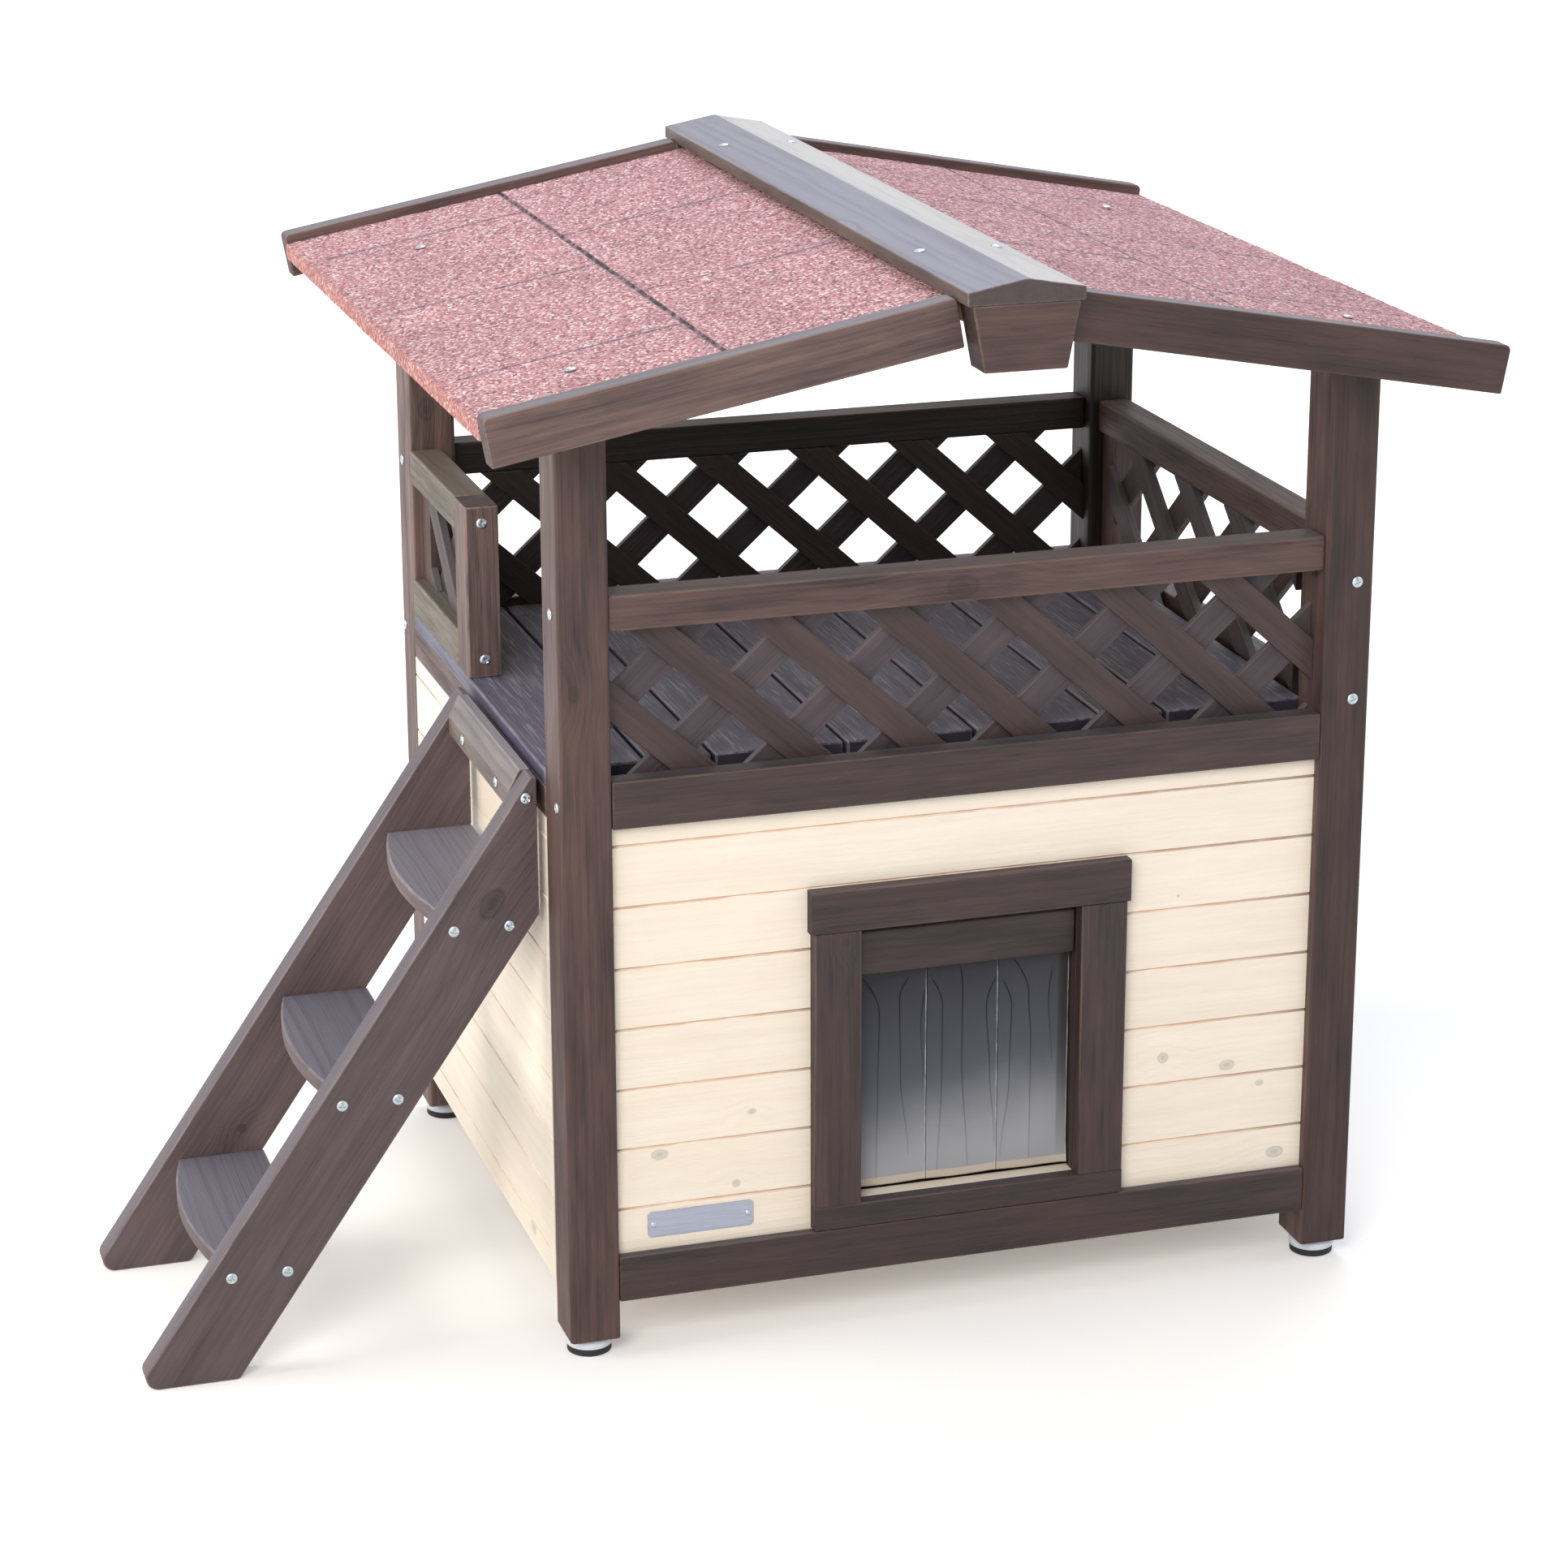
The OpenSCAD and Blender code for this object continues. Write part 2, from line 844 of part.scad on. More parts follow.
module lattice_back() {
    color(dark)
        placed()
            translate([0, body_d - front_lath_y - 2 * lath_t, 0])
                lattice(post_w, body_w - post_w, deck_z - lath_drop, handrail_z,
                        lath_pitch, lath_angle, back_laths);
}

module lattice_right() {
    color(dark)
        placed()
            translate([body_w - rail_t, 0, 0])
                rotate([0, 0, 90])
                    lattice(post_d + handrail, body_d - post_d - handrail, deck_z - lath_drop, handrail_z,
                            side_pitch, side_angle, right_laths);
}

module lattice_left() {
    color(dark)
        placed()
            translate([left_lath_in + 2 * lath_t, 0, 0])
                rotate([0, 0, 90])
                    lattice(left_panel_y, left_panel_y + left_len, deck_z + left_rail_h, handrail_z,
                            left_pitch * left_len, atan(left_lath_rise / left_len), left_laths * left_len);
}

// Door frame, nailed on the front wall
module door_lintel() {
    color(darker)
        placed()
            bar_between([door_x0 - jamb_w - lintel_over, wall_y - frame_t, door_top],
                        [door_x1 + jamb_w + lintel_over, wall_y, door_top + lintel_h]);
}

module door_jamb_left() {
    color(dark)
        placed()
            bar_between([door_x0 - jamb_w, wall_y - frame_t, door_z],
                        [door_x0, wall_y, door_top]);
}

module door_jamb_right() {
    color(dark)
        placed()
            bar_between([door_x1, wall_y - frame_t, door_z],
                        [door_x1 + jamb_w, wall_y, door_top]);
}

module door_sill_board() {
    color(dark)
        placed()
            bar_between([door_x0 - jamb_w, wall_y - frame_t, door_z - sill_h],
                        [door_x1 + jamb_w, wall_y, door_z]);
}

// Strip curtain: the strips are clamped between a bar and a cleat behind the wall
module curtain_bar() {
    color(dark)
        placed()
            bar_between([door_x0 + bar_gap, strip_y - bar_t, bar_z0],
                        [door_x1 - bar_gap, strip_y, bar_z1]);
}

module curtain_cleat() {
    color(dark)
        placed()
            bar_between([door_x0 - cleat_over, strip_y + strip_t, bar_z0],
                        [door_x1 + cleat_over, strip_y + strip_t + wall_t, bar_z1]);
}

function strip_x(i) = door_x - bar_w / 2 + i * (strip_w + strip_gap);

module strip_heads() {
    color("#d5dadd", 0.6)
        placed()
            for (i = [0:2])
                bar_between([strip_x(i), strip_y, hinge_z + strip_t / 2 + hinge_gap],
                            [strip_x(i) + strip_w, strip_y + strip_t, bar_z1]);
}

module strip(i) {
    color("#d5dadd", 0.6)
        placed() {
            bar_between([strip_x(i), strip_y, door_z + strip_rise],
                        [strip_x(i) + strip_w, strip_y + strip_t, hinge_z]);
            translate([strip_x(i), strip_y + strip_t / 2, hinge_z])
                rotate([0, 90, 0])
                    cylinder(h = strip_w, d = strip_t);
        }
}

module strip_left() {
    strip(0);
}

module strip_middle() {
    strip(1);
}

module strip_right() {
    strip(2);
}

// Blank name plate on the front wall, with a pin at each end
function plate_pin_points() = [
    for (x = [plate_x + plate_pin_in, plate_x + plate_w - plate_pin_in])
        [x, wall_y - plate_t, plate_z + plate_h / 2]
];

module name_plate() {
    color("#a7aab3")
        placed()
            difference() {
                bar_between([plate_x, wall_y - plate_t, plate_z],
                            [plate_x + plate_w, wall_y, plate_z + plate_h]);
                at_points(plate_pin_points(), "front")
                    cylinder(h = 3 * plate_t, d = plate_pin_d + 2 * hole_gap, center = true);
            }
}

module plate_pins() {
    color(steel)
        placed()
            at_points(plate_pin_points(), "front") {
                translate([0, 0, -plate_t])
                    cylinder(h = plate_t, d = plate_pin_d);
                cylinder(h = plate_t * 0.8, d = plate_pin_d * 1.6);
            }
}

// Stairs
function corner(center, radius, from, to, steps) = [
    for (i = [0:steps])
        center + radius * [cos(from + (to - from) * i / steps), sin(from + (to - from) * i / steps)]
];

module stringer_outline() {
    toe_c = [toe_x + toe_round / tan(stair_angle / 2), toe_round];
    heel_c = [heel_x - heel_round * tan(stair_angle / 2), heel_round];
    polygon(concat(
        [[stair_x, stair_top], [stair_x - stair_flat, stair_top]],
        corner(toe_c, toe_round, 90 + stair_angle, 270, 8),
        corner(heel_c, heel_round, 270, 270 + stair_angle, 6),
        [[stair_x, (stair_x - heel_x) / stair_run]]
    ));
}

module stringer(y) {
    color(dark)
        placed()
            difference() {
                translate([0, y + stringer_t, 0])
                    rotate([90, 0, 0])
                        linear_extrude(height = stringer_t)
                            stringer_outline();
                at_points(front_stair_screws, "front")
                    screw_hole(stringer_t);
                at_points(back_stair_screws, "back")
                    screw_hole(stringer_t);
            }
}

module stair_stringer_front() {
    stringer(stair_y);
}

module stair_stringer_back() {
    stringer(stair_y2);
}

// A tread with a round nose, its back edge level with the stringers' step line
module tread(i) {
    sag = nose_rise;
    nose_r = (stair_inner * stair_inner / 4 + sag * sag) / (2 * sag);
    nose_x = tread_x[i] - tread_depth;
    color(dark)
        placed()
            difference() {
                translate([0, 0, tread_z[i] - tread_t])
                    linear_extrude(height = tread_t)
                        intersection() {
                            translate([nose_x, stair_y1])
                                square([tread_depth, stair_inner]);
                            translate([nose_x + nose_r, stair_y1 + stair_inner / 2])
                                circle(r = nose_r, $fn = 180);
                        }
                at_points(front_stair_screws, "front")
                    screw_hole(stringer_t + bite);
                at_points(back_stair_screws, "back")
                    screw_hole(stringer_t + bite);
            }
}

module stair_tread_upper() {
    tread(0);
}

module stair_tread_middle() {
    tread(1);
}

module stair_tread_lower() {
    tread(2);
}

// Board between the stringers at the top, screwed to the deck's edge rail
module stair_top_board() {
    color(grey_wood)
        placed()
            difference() {
                translate([0, stair_y2, 0])
                    rotate([90, 0, 0])
                        linear_extrude(height = stair_inner)
                            polygon([
                                [stair_x, stair_top - top_board_h],
                                [stair_x, stair_top],
                                [stair_x - top_board_t / 2, stair_top],
                                [stair_x - top_board_t, stair_top - top_board_h / 2],
                                [stair_x - top_board_t, stair_top - top_board_h]
                            ]);
                at_points(front_stair_screws, "front")
                    screw_hole(stringer_t + bite);
                at_points(back_stair_screws, "back")
                    screw_hole(stringer_t + bite);
                at_points(hang_screws, "left")
                    screw_hole(top_board_t);
            }
}

// Roof. Sections are drawn from the ridge to the right and mirrored for the left
module right_side() {
    translate([mid_x, 0, 0])
        children();
}

module left_side() {
    translate([mid_x, 0, 0])
        mirror([1, 0, 0])
            children();
}

// A slab along the slope: from x0 to x1, between two heights at the ridge line
module slope_slab(x0, x1, low, high, y0, y1) {
    translate([0, y1, 0])
        rotate([90, 0, 0])
            linear_extrude(height = y1 - y0)
                polygon([
                    [x0, low - x0 * roof_slope], [x1, low - x1 * roof_slope],
                    [x1, high - x1 * roof_slope], [x0, high - x0 * roof_slope]
                ]);
}

// Holes of the roof screws, for the pieces that they pass through
module roof_holes() {
    at_slopes(post_screw_x, post_screw_y, felt_z)
        screw_hole(post_screw_l);
    at_slopes(cap_screw_x, cap_screw_y, cap_top)
        screw_hole(cap_screw_l);
}

module rafters() {
    color(darker)
        placed()
            difference() {
                for (y = rafter_y) {
                    right_side()
                        slope_slab(edge_gap, mid_x, under_z - rafter_h, under_z, y, y + rafter_t);
                    left_side()
                        slope_slab(edge_gap, mid_x, under_z - rafter_h, under_z, y, y + rafter_t);
                }
                roof_holes();
            }
}

module roof_slab() {
    slope_slab(ridge_half_gap, half_roof, under_z, under_z + roof_t * roof_rise, roof_front, roof_back);
}

module felt_slab() {
    difference() {
        slope_slab(ridge_half_gap, half_roof, felt_z - felt_t * roof_rise, felt_z, roof_front, roof_back);
        felt_marks();
    }
}

// Shallow cuts in the felt: the lap between the courses and the slots of each course
module felt_marks() {
    depth = felt_cut_depth * roof_rise;
    slope_slab(felt_seam, felt_seam + felt_cut, felt_z - depth, felt_z + 1, roof_front - 1, roof_back + 1);
    for (c = [0, 1])
        for (y = [roof_front + slot_first[c] : slot_pitch : roof_back - slot_end])
            slope_slab(c == 0 ? ridge_half_gap - 1 : felt_seam, c == 0 ? felt_seam : half_roof - slot_end,
                       felt_z - depth, felt_z + 1, y, y + felt_cut);
}

module roof_panel_right() {
    color("#caa57c")
        placed()
            difference() {
                right_side()
                    roof_slab();
                roof_holes();
            }
}

module roof_panel_left() {
    color("#caa57c")
        placed()
            difference() {
                left_side()
                    roof_slab();
                roof_holes();
            }
}

module felt_right() {
    color(felt_red)
        placed()
            difference() {
                right_side()
                    felt_slab();
                roof_holes();
            }
}

module felt_left() {
    color(felt_red)
        placed()
            difference() {
                left_side()
                    felt_slab();
                roof_holes();
            }
}

// A barge board: square ends, its top line above the felt
module barge_board(y) {
    inner = cap_w / 2 + barge_gap;
    length = (barge_end - inner) / cos(roof_angle);
    translate([inner, y, barge_top - inner * roof_slope])
        rotate([0, roof_angle, 0])
            translate([0, 0, -barge_h])
                cube([length, barge_t, barge_h]);
}

module barge_boards_front() {
    color(dark)
        placed() {
            right_side()
                barge_board(roof_front - barge_t);
            left_side()
                barge_board(roof_front - barge_t);
        }
}

module barge_boards_back() {
    color(dark)
        placed() {
            right_side()
                barge_board(roof_back);
            left_side()
                barge_board(roof_back);
        }
}

module ridge_cap() {
    half = cap_w / 2;
    color(grey_wood)
        placed()
            difference() {
                translate([mid_x, cap_y1, cap_z])
                    rotate([90, 0, 0])
                        linear_extrude(height = cap_y1 - cap_y0)
                            polygon([
                                [-half, 0], [half, 0], [half, cap_edge],
                                [0, cap_edge + half * roof_slope], [-half, cap_edge]
                            ]);
                roof_holes();
            }
}

module ridge_blocks() {
    color(dark)
        placed()
            for (y = [cap_y0 + block_t, cap_y1])
                translate([mid_x, y, cap_z])
                    rotate([90, 0, 0])
                        linear_extrude(height = block_t)
                            polygon([
                                [-block_foot / 2, -block_h], [block_foot / 2, -block_h],
                                [block_top / 2, 0], [-block_top / 2, 0]
                            ]);
}

// Screws
module stair_screws() {
    color(steel)
        placed() {
            at_points(front_stair_screws, "front")
                screw(stringer_t + bite);
            at_points(back_stair_screws, "back")
                screw(stringer_t + bite);
            at_points(hang_screws, "left")
                screw(hang_screw_l);
        }
}

module frame_screws() {
    color(steel)
        placed() {
            at_points(front_post_screws, "front")
                screw(post_d + bite);
            at_points(back_post_screws, "back")
                screw(post_d + bite);
            at_points(left_post_screws, "left")
                screw(post_w + bite);
            at_points(right_post_screws, "right")
                screw(post_w + bite);
            at_points(newel_screws, "front")
                screw(newel_d + bite);
            at_slopes(post_screw_x, post_screw_y, felt_z)
                screw(post_screw_l);
            at_slopes(cap_screw_x, cap_screw_y, cap_top)
                screw(cap_screw_l);
        }
}

post_front_left();
post_front_right();
post_back_left();
post_back_right();
foot_glides();
foot_soles();
base_rail_front();
base_rail_back();
floor_bearers();
floor_panel();
wall_front();
wall_back();
wall_left();
wall_right();
deck_rail_front();
deck_rail_back();
deck_rail_left();
deck_rail_right();
deck_beams();
deck_boards();
handrail_front();
handrail_back();
handrail_right();
handrail_left();
lattice_front();
lattice_back();
lattice_right();
lattice_left();
lattice_battens();
lattice_rail_left();
newel();
door_lintel();
door_jamb_left();
door_jamb_right();
door_sill_board();
curtain_bar();
curtain_cleat();
strip_heads();
strip_left();
strip_middle();
strip_right();
name_plate();
plate_pins();
stair_stringer_front();
stair_stringer_back();
stair_tread_lower();
stair_tread_middle();
stair_tread_upper();
stair_top_board();
rafters();
roof_panel_left();
roof_panel_right();
felt_left();
felt_right();
barge_boards_front();
barge_boards_back();
ridge_cap();
ridge_blocks();
stair_screws();
frame_screws();
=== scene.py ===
import functools
import random
from math import asin, cos, dist, exp, floor, hypot, pi, radians, sin, tan

import bmesh
import bpy
from mathutils import Matrix, Vector, noise


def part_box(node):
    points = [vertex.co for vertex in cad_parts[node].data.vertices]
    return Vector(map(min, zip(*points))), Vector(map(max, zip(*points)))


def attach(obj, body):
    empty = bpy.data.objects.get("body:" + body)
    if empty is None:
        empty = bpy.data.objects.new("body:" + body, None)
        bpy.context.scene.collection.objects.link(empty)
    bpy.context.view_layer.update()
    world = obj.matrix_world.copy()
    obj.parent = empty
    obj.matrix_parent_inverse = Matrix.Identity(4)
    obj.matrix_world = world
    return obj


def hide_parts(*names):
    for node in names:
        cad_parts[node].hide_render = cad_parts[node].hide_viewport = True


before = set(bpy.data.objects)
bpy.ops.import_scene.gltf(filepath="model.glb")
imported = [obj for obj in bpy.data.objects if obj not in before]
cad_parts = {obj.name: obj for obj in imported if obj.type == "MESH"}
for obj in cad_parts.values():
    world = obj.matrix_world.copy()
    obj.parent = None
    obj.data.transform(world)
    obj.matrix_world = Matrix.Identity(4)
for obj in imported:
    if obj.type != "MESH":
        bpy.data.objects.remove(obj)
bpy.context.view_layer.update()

# Posts: four planed spruce posts, their upright edges rounded by a router, cut off along the
# slope of the roof. Dipped in a dark brown stain that leaves the grain to be seen.
# All sizes are millimetres from the left front corner of the house, heights from the floor.
WIDE, DEEP = 590, 495
POST_W, POST_D, POST_ROUND = 36, 42, 3
LEAN = radians(10.33)
ROOF_SLOPE = tan(LEAN)
RIDGE_X = WIDE / 2
ROOF_UNDER = 687.5 + RIDGE_X * ROOF_SLOPE
X, Y, Z = Vector((1, 0, 0)), Vector((0, 1, 0)), Vector((0, 0, 1))
WAYS = {"left": -X, "front": -Y, "top": Z}
NO_KNOT = Vector((1, 1, 0.001))
corner = Vector(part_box("post_front_left")[0])
corner.z = 0
shuffle = random.Random(11)


def colour(code):
    """A hex colour as the linear colour that a shader takes."""
    parts = [int(code[i:i + 2], 16) / 255 for i in (1, 3, 5)]
    return [p / 12.92 if p <= 0.04045 else ((p + 0.055) / 1.055) ** 2.4 for p in parts] + [1]


# What the word after a kind of node sets; for a kind that isn't here, its operation
SETTING = {"Attribute": "attribute_name", "MapRange": "interpolation_type", "Mix": "data_type",
           "TexNoise": "noise_dimensions", "TexVoronoi": "voronoi_dimensions"}


def add(tree, kind, feeds=(), **settings):
    """Adds a node, sets it up, and links or fills its sockets, which feeds gives in their order
    or by name, a colour as its hex code. Returns the node's outputs."""
    kind, *word = kind.split()
    node = tree.nodes.new("ShaderNode" + kind)
    if word:
        settings[SETTING.get(kind, "operation")] = word[0]
    for name, value in settings.items():
        setattr(node, name, value)
    for socket, value in feeds.items() if isinstance(feeds, dict) else enumerate(feeds):
        if isinstance(value, bpy.types.NodeSocket):
            tree.links.new(value, node.inputs[socket])
        else:
            node.inputs[socket].default_value = colour(value) if isinstance(value, str) else value
    return node.outputs


def new_finish(name, among=bpy.data.materials):
    """An empty finish, and what adds a node to it."""
    finish = among.new(name)
    finish.use_nodes = True
    finish.node_tree.nodes.clear()
    return finish, functools.partial(add, finish.node_tree)


def streaks(put, where, marks, detail, rough=0.5):
    """Noise with so many marks to a metre each way, so that few make it long that way."""
    drawn = put("VectorMath MULTIPLY", (where, marks))[0]
    return put("TexNoise", {"Vector": drawn, "Scale": 1.0, "Detail": detail, "Roughness": rough})[0]


def surface(put, tone, rough, height, strength, depth, metallic=0.0, invert=False):
    """Ends a finish: its colour and roughness, and a relief with a strength and a depth."""
    relief = {"Height": height, "Strength": strength, "Distance": depth}
    bump = put("Bump", relief, invert=invert)[0]
    shader = put("BsdfPrincipled", {
        "Base Color": tone, "Roughness": rough, "IOR": 1.5, "Metallic": metallic, "Normal": bump})
    put("OutputMaterial", (shader[0],))


def timber(name, light, dark, weathered, grey, worn, wear=0.4, ring=3.4, depth=1.2, rough=0.56,
           knot_dark="#281d1c", right_slope_reflection=0.0, silver=0.0, soak=0.7):
    """Softwood with growth rings that bend round its knots, fibres, and a surface coat.

    light and dark are the early and late wood under the coat, weathered the colour of faces that
    look up and grey how far it covers them: partly weathering, partly a painted reflection of the
    sky. worn is the colour of edges and wear how much of it there is: rubbed wear, and on rounded
    edges a painted highlight too. ring is the width of a growth ring in millimetres, depth how
    strong the figure is, east how far slopes that look right are paled by a painted reflection,
    silver how far bare fibres on faces that look up turn silver, partly a painted sky reflection
    too, soak how much cut ends darken: end grain drinks more stain, and on the deck boards it is
    painted shade as well. The fibres of spruce are 0.05 mm wide: they are drawn 1 mm wide so that
    they show."""
    finish, put = new_finish(name)
    grain, marked = (put("Attribute " + title)["Vector"] for title in ("grain", "knot"))
    tint, rubbed, cut_end = (put("Attribute " + title)["Fac"] for title in ("tint", "wear", "end"))
    # Small knots that run through the board, and the larger ones that have a place of their own
    cell = put("TexVoronoi 2D", {"Vector": grain, "Scale": 5.0})
    draw = put("SeparateColor", (cell["Color"],))["Red"]
    size = put("MapRange", (draw, 0.5, 1.0, 0.0002, 0.0045))[0]
    away = put("Math MULTIPLY", (cell["Distance"], 0.2))[0]
    small = put("Math DIVIDE", (away, size))[0]
    flat = put("VectorMath MULTIPLY", (marked, (0.65, 1, 0)))[0]
    far = put("VectorMath LENGTH", (flat,))["Value"]
    radius = put("SeparateXYZ", (marked,))["Z"]
    large = put("Math DIVIDE", (far, radius))[0]
    near = put("Math MINIMUM", (small, large))[0]
    core = put("MapRange SMOOTHSTEP", (near, 1.2, 0.8))[0]
    year = put("TexNoise 1D", {"W": near, "Scale": 5.0, "Detail": 1.0})[0]
    year = put("MapRange", (year, 0.3, 0.7, 0.25, 0.8))[0]
    core = put("Math MULTIPLY", (core, year))[0]
    bend = put("MapRange SMOOTHSTEP", (near, 7.0, 1.0, 0.0, 0.008))[0]
    # Growth rings: distance from the heart of the log, swaying along the board
    section = put("VectorMath MULTIPLY", (grain, (0, 1, 1)))[0]
    heart = put("VectorMath LENGTH", (section,))["Value"]
    sway = streaks(put, grain, (3.2, 30, 30), 2.0)
    swayed = put("Math MULTIPLY_ADD", (sway, 0.016, heart))[0]
    ring_at = put("Math ADD", (swayed, bend))[0]
    rings = put("TexNoise 1D", {"W": ring_at, "Scale": 1000 / ring, "Detail": 1.5})[0]
    late = put("MapRange SMOOTHSTEP", (rings, 0.36, 0.7))[0]
    # Fibres, and patches where the coat has soaked in more
    fibre = streaks(put, grain, (28, 950, 950), 3.0)
    patch = streaks(put, grain, (10, 62, 62), 4.0, 0.6)
    mixed = put("Math MULTIPLY_ADD", (late, 0.13 * depth, 0.42 - 0.42 * depth))[0]
    for marks, weight, last in ((fibre, 0.22, False), (patch, 0.5, True)):
        spread = put("MapRange", (marks, 0.3, 0.7))[0]
        mixed = put("Math MULTIPLY_ADD", (spread, weight * depth, mixed), use_clamp=last)[0]
    # Faces that look up go grey in streaks, and some fibres there are bare: partly weathering,
    # partly a painted reflection of the sky
    facing = put("SeparateXYZ", (put("NewGeometry")["Normal"],))
    up_weathering_and_sky = put("MapRange", (facing["Z"], 0.3, 0.9, 0.0, grey))[0]
    streak = put("MapRange", (late, 0.0, 1.0, 1.08, 0.72))[0]
    bleach = put("Math MULTIPLY", (up_weathering_and_sky, streak), use_clamp=True)[0]
    # Slopes that look right are paled: a painted reflection
    pale = put("MapRange", (facing["X"], 0.05, 0.17, 0.0, right_slope_reflection))[0]
    faded = put("Mix RGBA", {0: pale, 6: weathered, 7: "#cbc7c2"})[2]
    bare = put("MapRange SMOOTHSTEP", (fibre, 0.52, 0.68, 0.0, silver))[0]
    bare = put("Math MULTIPLY", (bare, up_weathering_and_sky))[0]
    # Cut ends darken: end grain drinks more stain, and on the deck boards it is painted shade too.
    # Edges take the worn colour in spots: rubbed wear, and on rounded edges a painted highlight too
    soaked = put("Math MULTIPLY", (cut_end, soak))[0]
    spot = streaks(put, grain, (45, 260, 260), 2.0)
    spot = put("MapRange", (spot, 0.3, 0.62, 0.0, wear))[0]
    edge = put("Math MULTIPLY", (rubbed, spot))[0]
    body = light
    for factor, over in (
            (mixed, dark), (bleach, faded), (soaked, dark), (bare, "#a9acb8"), (core, knot_dark),
            (edge, worn)):
        body = put("Mix RGBA", {0: factor, 6: body, 7: over})[2]
    # A lighter board or face is a little greyer too; tint holds a board's own tone and the
    # painted light and shade of single faces
    bright, rich = (put("Math MULTIPLY_ADD", (tint, share, 1.0))[0] for share in (0.25, -0.07))
    body = put("HueSaturation", {"Saturation": rich, "Value": bright, "Color": body})[0]
    # The late wood stands a little proud of the softer early wood
    raised = put("Math MULTIPLY_ADD", (late, 0.5, fibre))[0]
    sheen = put("MapRange", (mixed, 0.0, 1.0, rough - 0.06, rough + 0.12))[0]
    surface(put, body, sheen, raised, 0.4, 0.0006)
    return finish


def sawn(outline, depth, origin, u, v, along=None, through=None, rounding=1.3, facet=4.0,
         knot=None, tint=None, **painted_face_light):
    """One piece of wood: an outline in the plane of u and v, made solid along u x v.

    Its long edges are eased by rounding, and lines of the outline shorter than facet are part
    of a curve. along is the way of the grain, through the way that its knots run. knot is a
    place on its face and a radius. tint is how light the board is, and left, front and top how
    much lighter that face of it is painted: painted light, and painted shade where negative."""
    u, v, origin = Vector(u), Vector(v), Vector(origin)
    w = u.cross(v)
    along, through = Vector(along or w), Vector(through or v)
    work = bmesh.new()
    foot = [work.verts.new((a, b, 0)) for a, b in outline]
    head = [work.verts.new((a, b, depth(a, b) if callable(depth) else depth)) for a, b in outline]
    work.faces.new(foot[::-1])
    work.faces.new(head)
    curved = []
    for i, spot in enumerate(outline):
        j = (i + 1) % len(outline)
        face = work.faces.new((foot[i], foot[j], head[j], head[i]))
        if dist(spot, outline[j]) < facet:
            curved.append(face)
    work.normal_update()
    if rounding:
        sharp = [edge for edge in work.edges if edge.calc_face_angle(0) > 0.5]
        curved += bmesh.ops.bevel(work, geom=sharp, offset=rounding, segments=2, profile=0.5,
                                  affect="EDGES", clamp_overlap=True)["faces"]
        work.normal_update()
    worn = {face for face in curved if face.is_valid}
    shade = shuffle.uniform(-0.3, 0.3) if tint is None else tint
    layers = {"grain": [], "knot": [], "tint": [], "wear": [], "end": []}
    for face in work.faces:
        out = u * face.normal.x + v * face.normal.y + w * face.normal.z
        # Single faces are painted lighter or darker: painted light and shade
        lighter = sum(more for way, more in painted_face_light.items() if out.dot(WAYS[way]) > 0.6)
        layers["tint"].append(shade + lighter)
        layers["wear"].append(float(face in worn))
        layers["end"].append(float(abs(out.dot(along)) > 0.9))
    # Each piece comes from another place in another log
    across = along.cross(through)
    start = Vector((shuffle.uniform(0, 8000), shuffle.choice((-1, 1)) * shuffle.uniform(12, 60),
                    shuffle.uniform(8, 45)))
    middle = origin + u * sum(a for a, b in outline) / len(outline)
    middle += v * sum(b for a, b in outline) / len(outline)
    points = []
    for vert in work.verts:
        p = origin + u * vert.co.x + v * vert.co.y + w * vert.co.z
        points.append(corner + p / 1000)
        q = p - middle
        q = Vector((q.dot(along), q.dot(across), q.dot(through)))
        layers["grain"].append((q + start) / 1000)
        # Without a knot of its own, the nearest one is a metre off
        mark = NO_KNOT
        if knot:
            q = p - Vector(knot[0])
            mark = Vector((q.dot(along), q.dot(across), knot[1])) / 1000
        layers["knot"].append(mark)
    work.verts.index_update()
    faces = [[vert.index for vert in face.verts] for face in work.faces]
    work.free()
    return points, faces, layers


def new_object(name, data):
    thing = bpy.data.objects.new(name, data)
    bpy.context.scene.collection.objects.link(thing)
    return thing


def place(name, made, finish, node, body="house", sharp=38, also=None):
    """Joins pieces as one object that stands for its node and rides on a body.

    A piece is its points, its faces, and what its finish reads there: tint, wear and end at
    each face, the rest at each point. Wood is smooth where it is worn, and other things are,
    up to edges of the sharp angle. also is a second finish and the pieces that have it."""
    points, faces, layers = [], [], {}
    for part_points, part_faces, part_layers in made + (also[1] if also else []):
        faces += [[i + len(points) for i in face] for face in part_faces]
        points += part_points
        for title, values in part_layers.items():
            layers.setdefault(title, []).extend(values)
    mesh = bpy.data.meshes.new(name)
    mesh.from_pydata(points, [], faces)
    for title, values in layers.items():
        domain = "FACE" if title in ("tint", "wear", "end") else "POINT"
        if isinstance(values[0], Vector):
            layer = mesh.attributes.new(title, "FLOAT_VECTOR", domain)
            layer.data.foreach_set("vector", [c for value in values for c in value])
        else:
            mesh.attributes.new(title, "FLOAT", domain).data.foreach_set("value", values)
    if "wear" in layers:
        mesh.polygons.foreach_set("use_smooth", [wear > 0 for wear in layers["wear"]])
    else:
        mesh.shade_smooth()
        mesh.set_sharp_from_angle(angle=radians(sharp))
    mesh.materials.append(finish)
    if also:
        first = sum(len(part[1]) for part in made)
        mesh.materials.append(also[0])
        mesh.polygons.foreach_set("material_index", [int(i >= first) for i in range(len(faces))])
    piece = new_object(name, mesh)
    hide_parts(node)
    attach(piece, body)


def node_box(node):
    """The corners of a node of the frame, in the house's millimetres."""
    return [(Vector(p) - corner) * 1000 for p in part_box(node)]


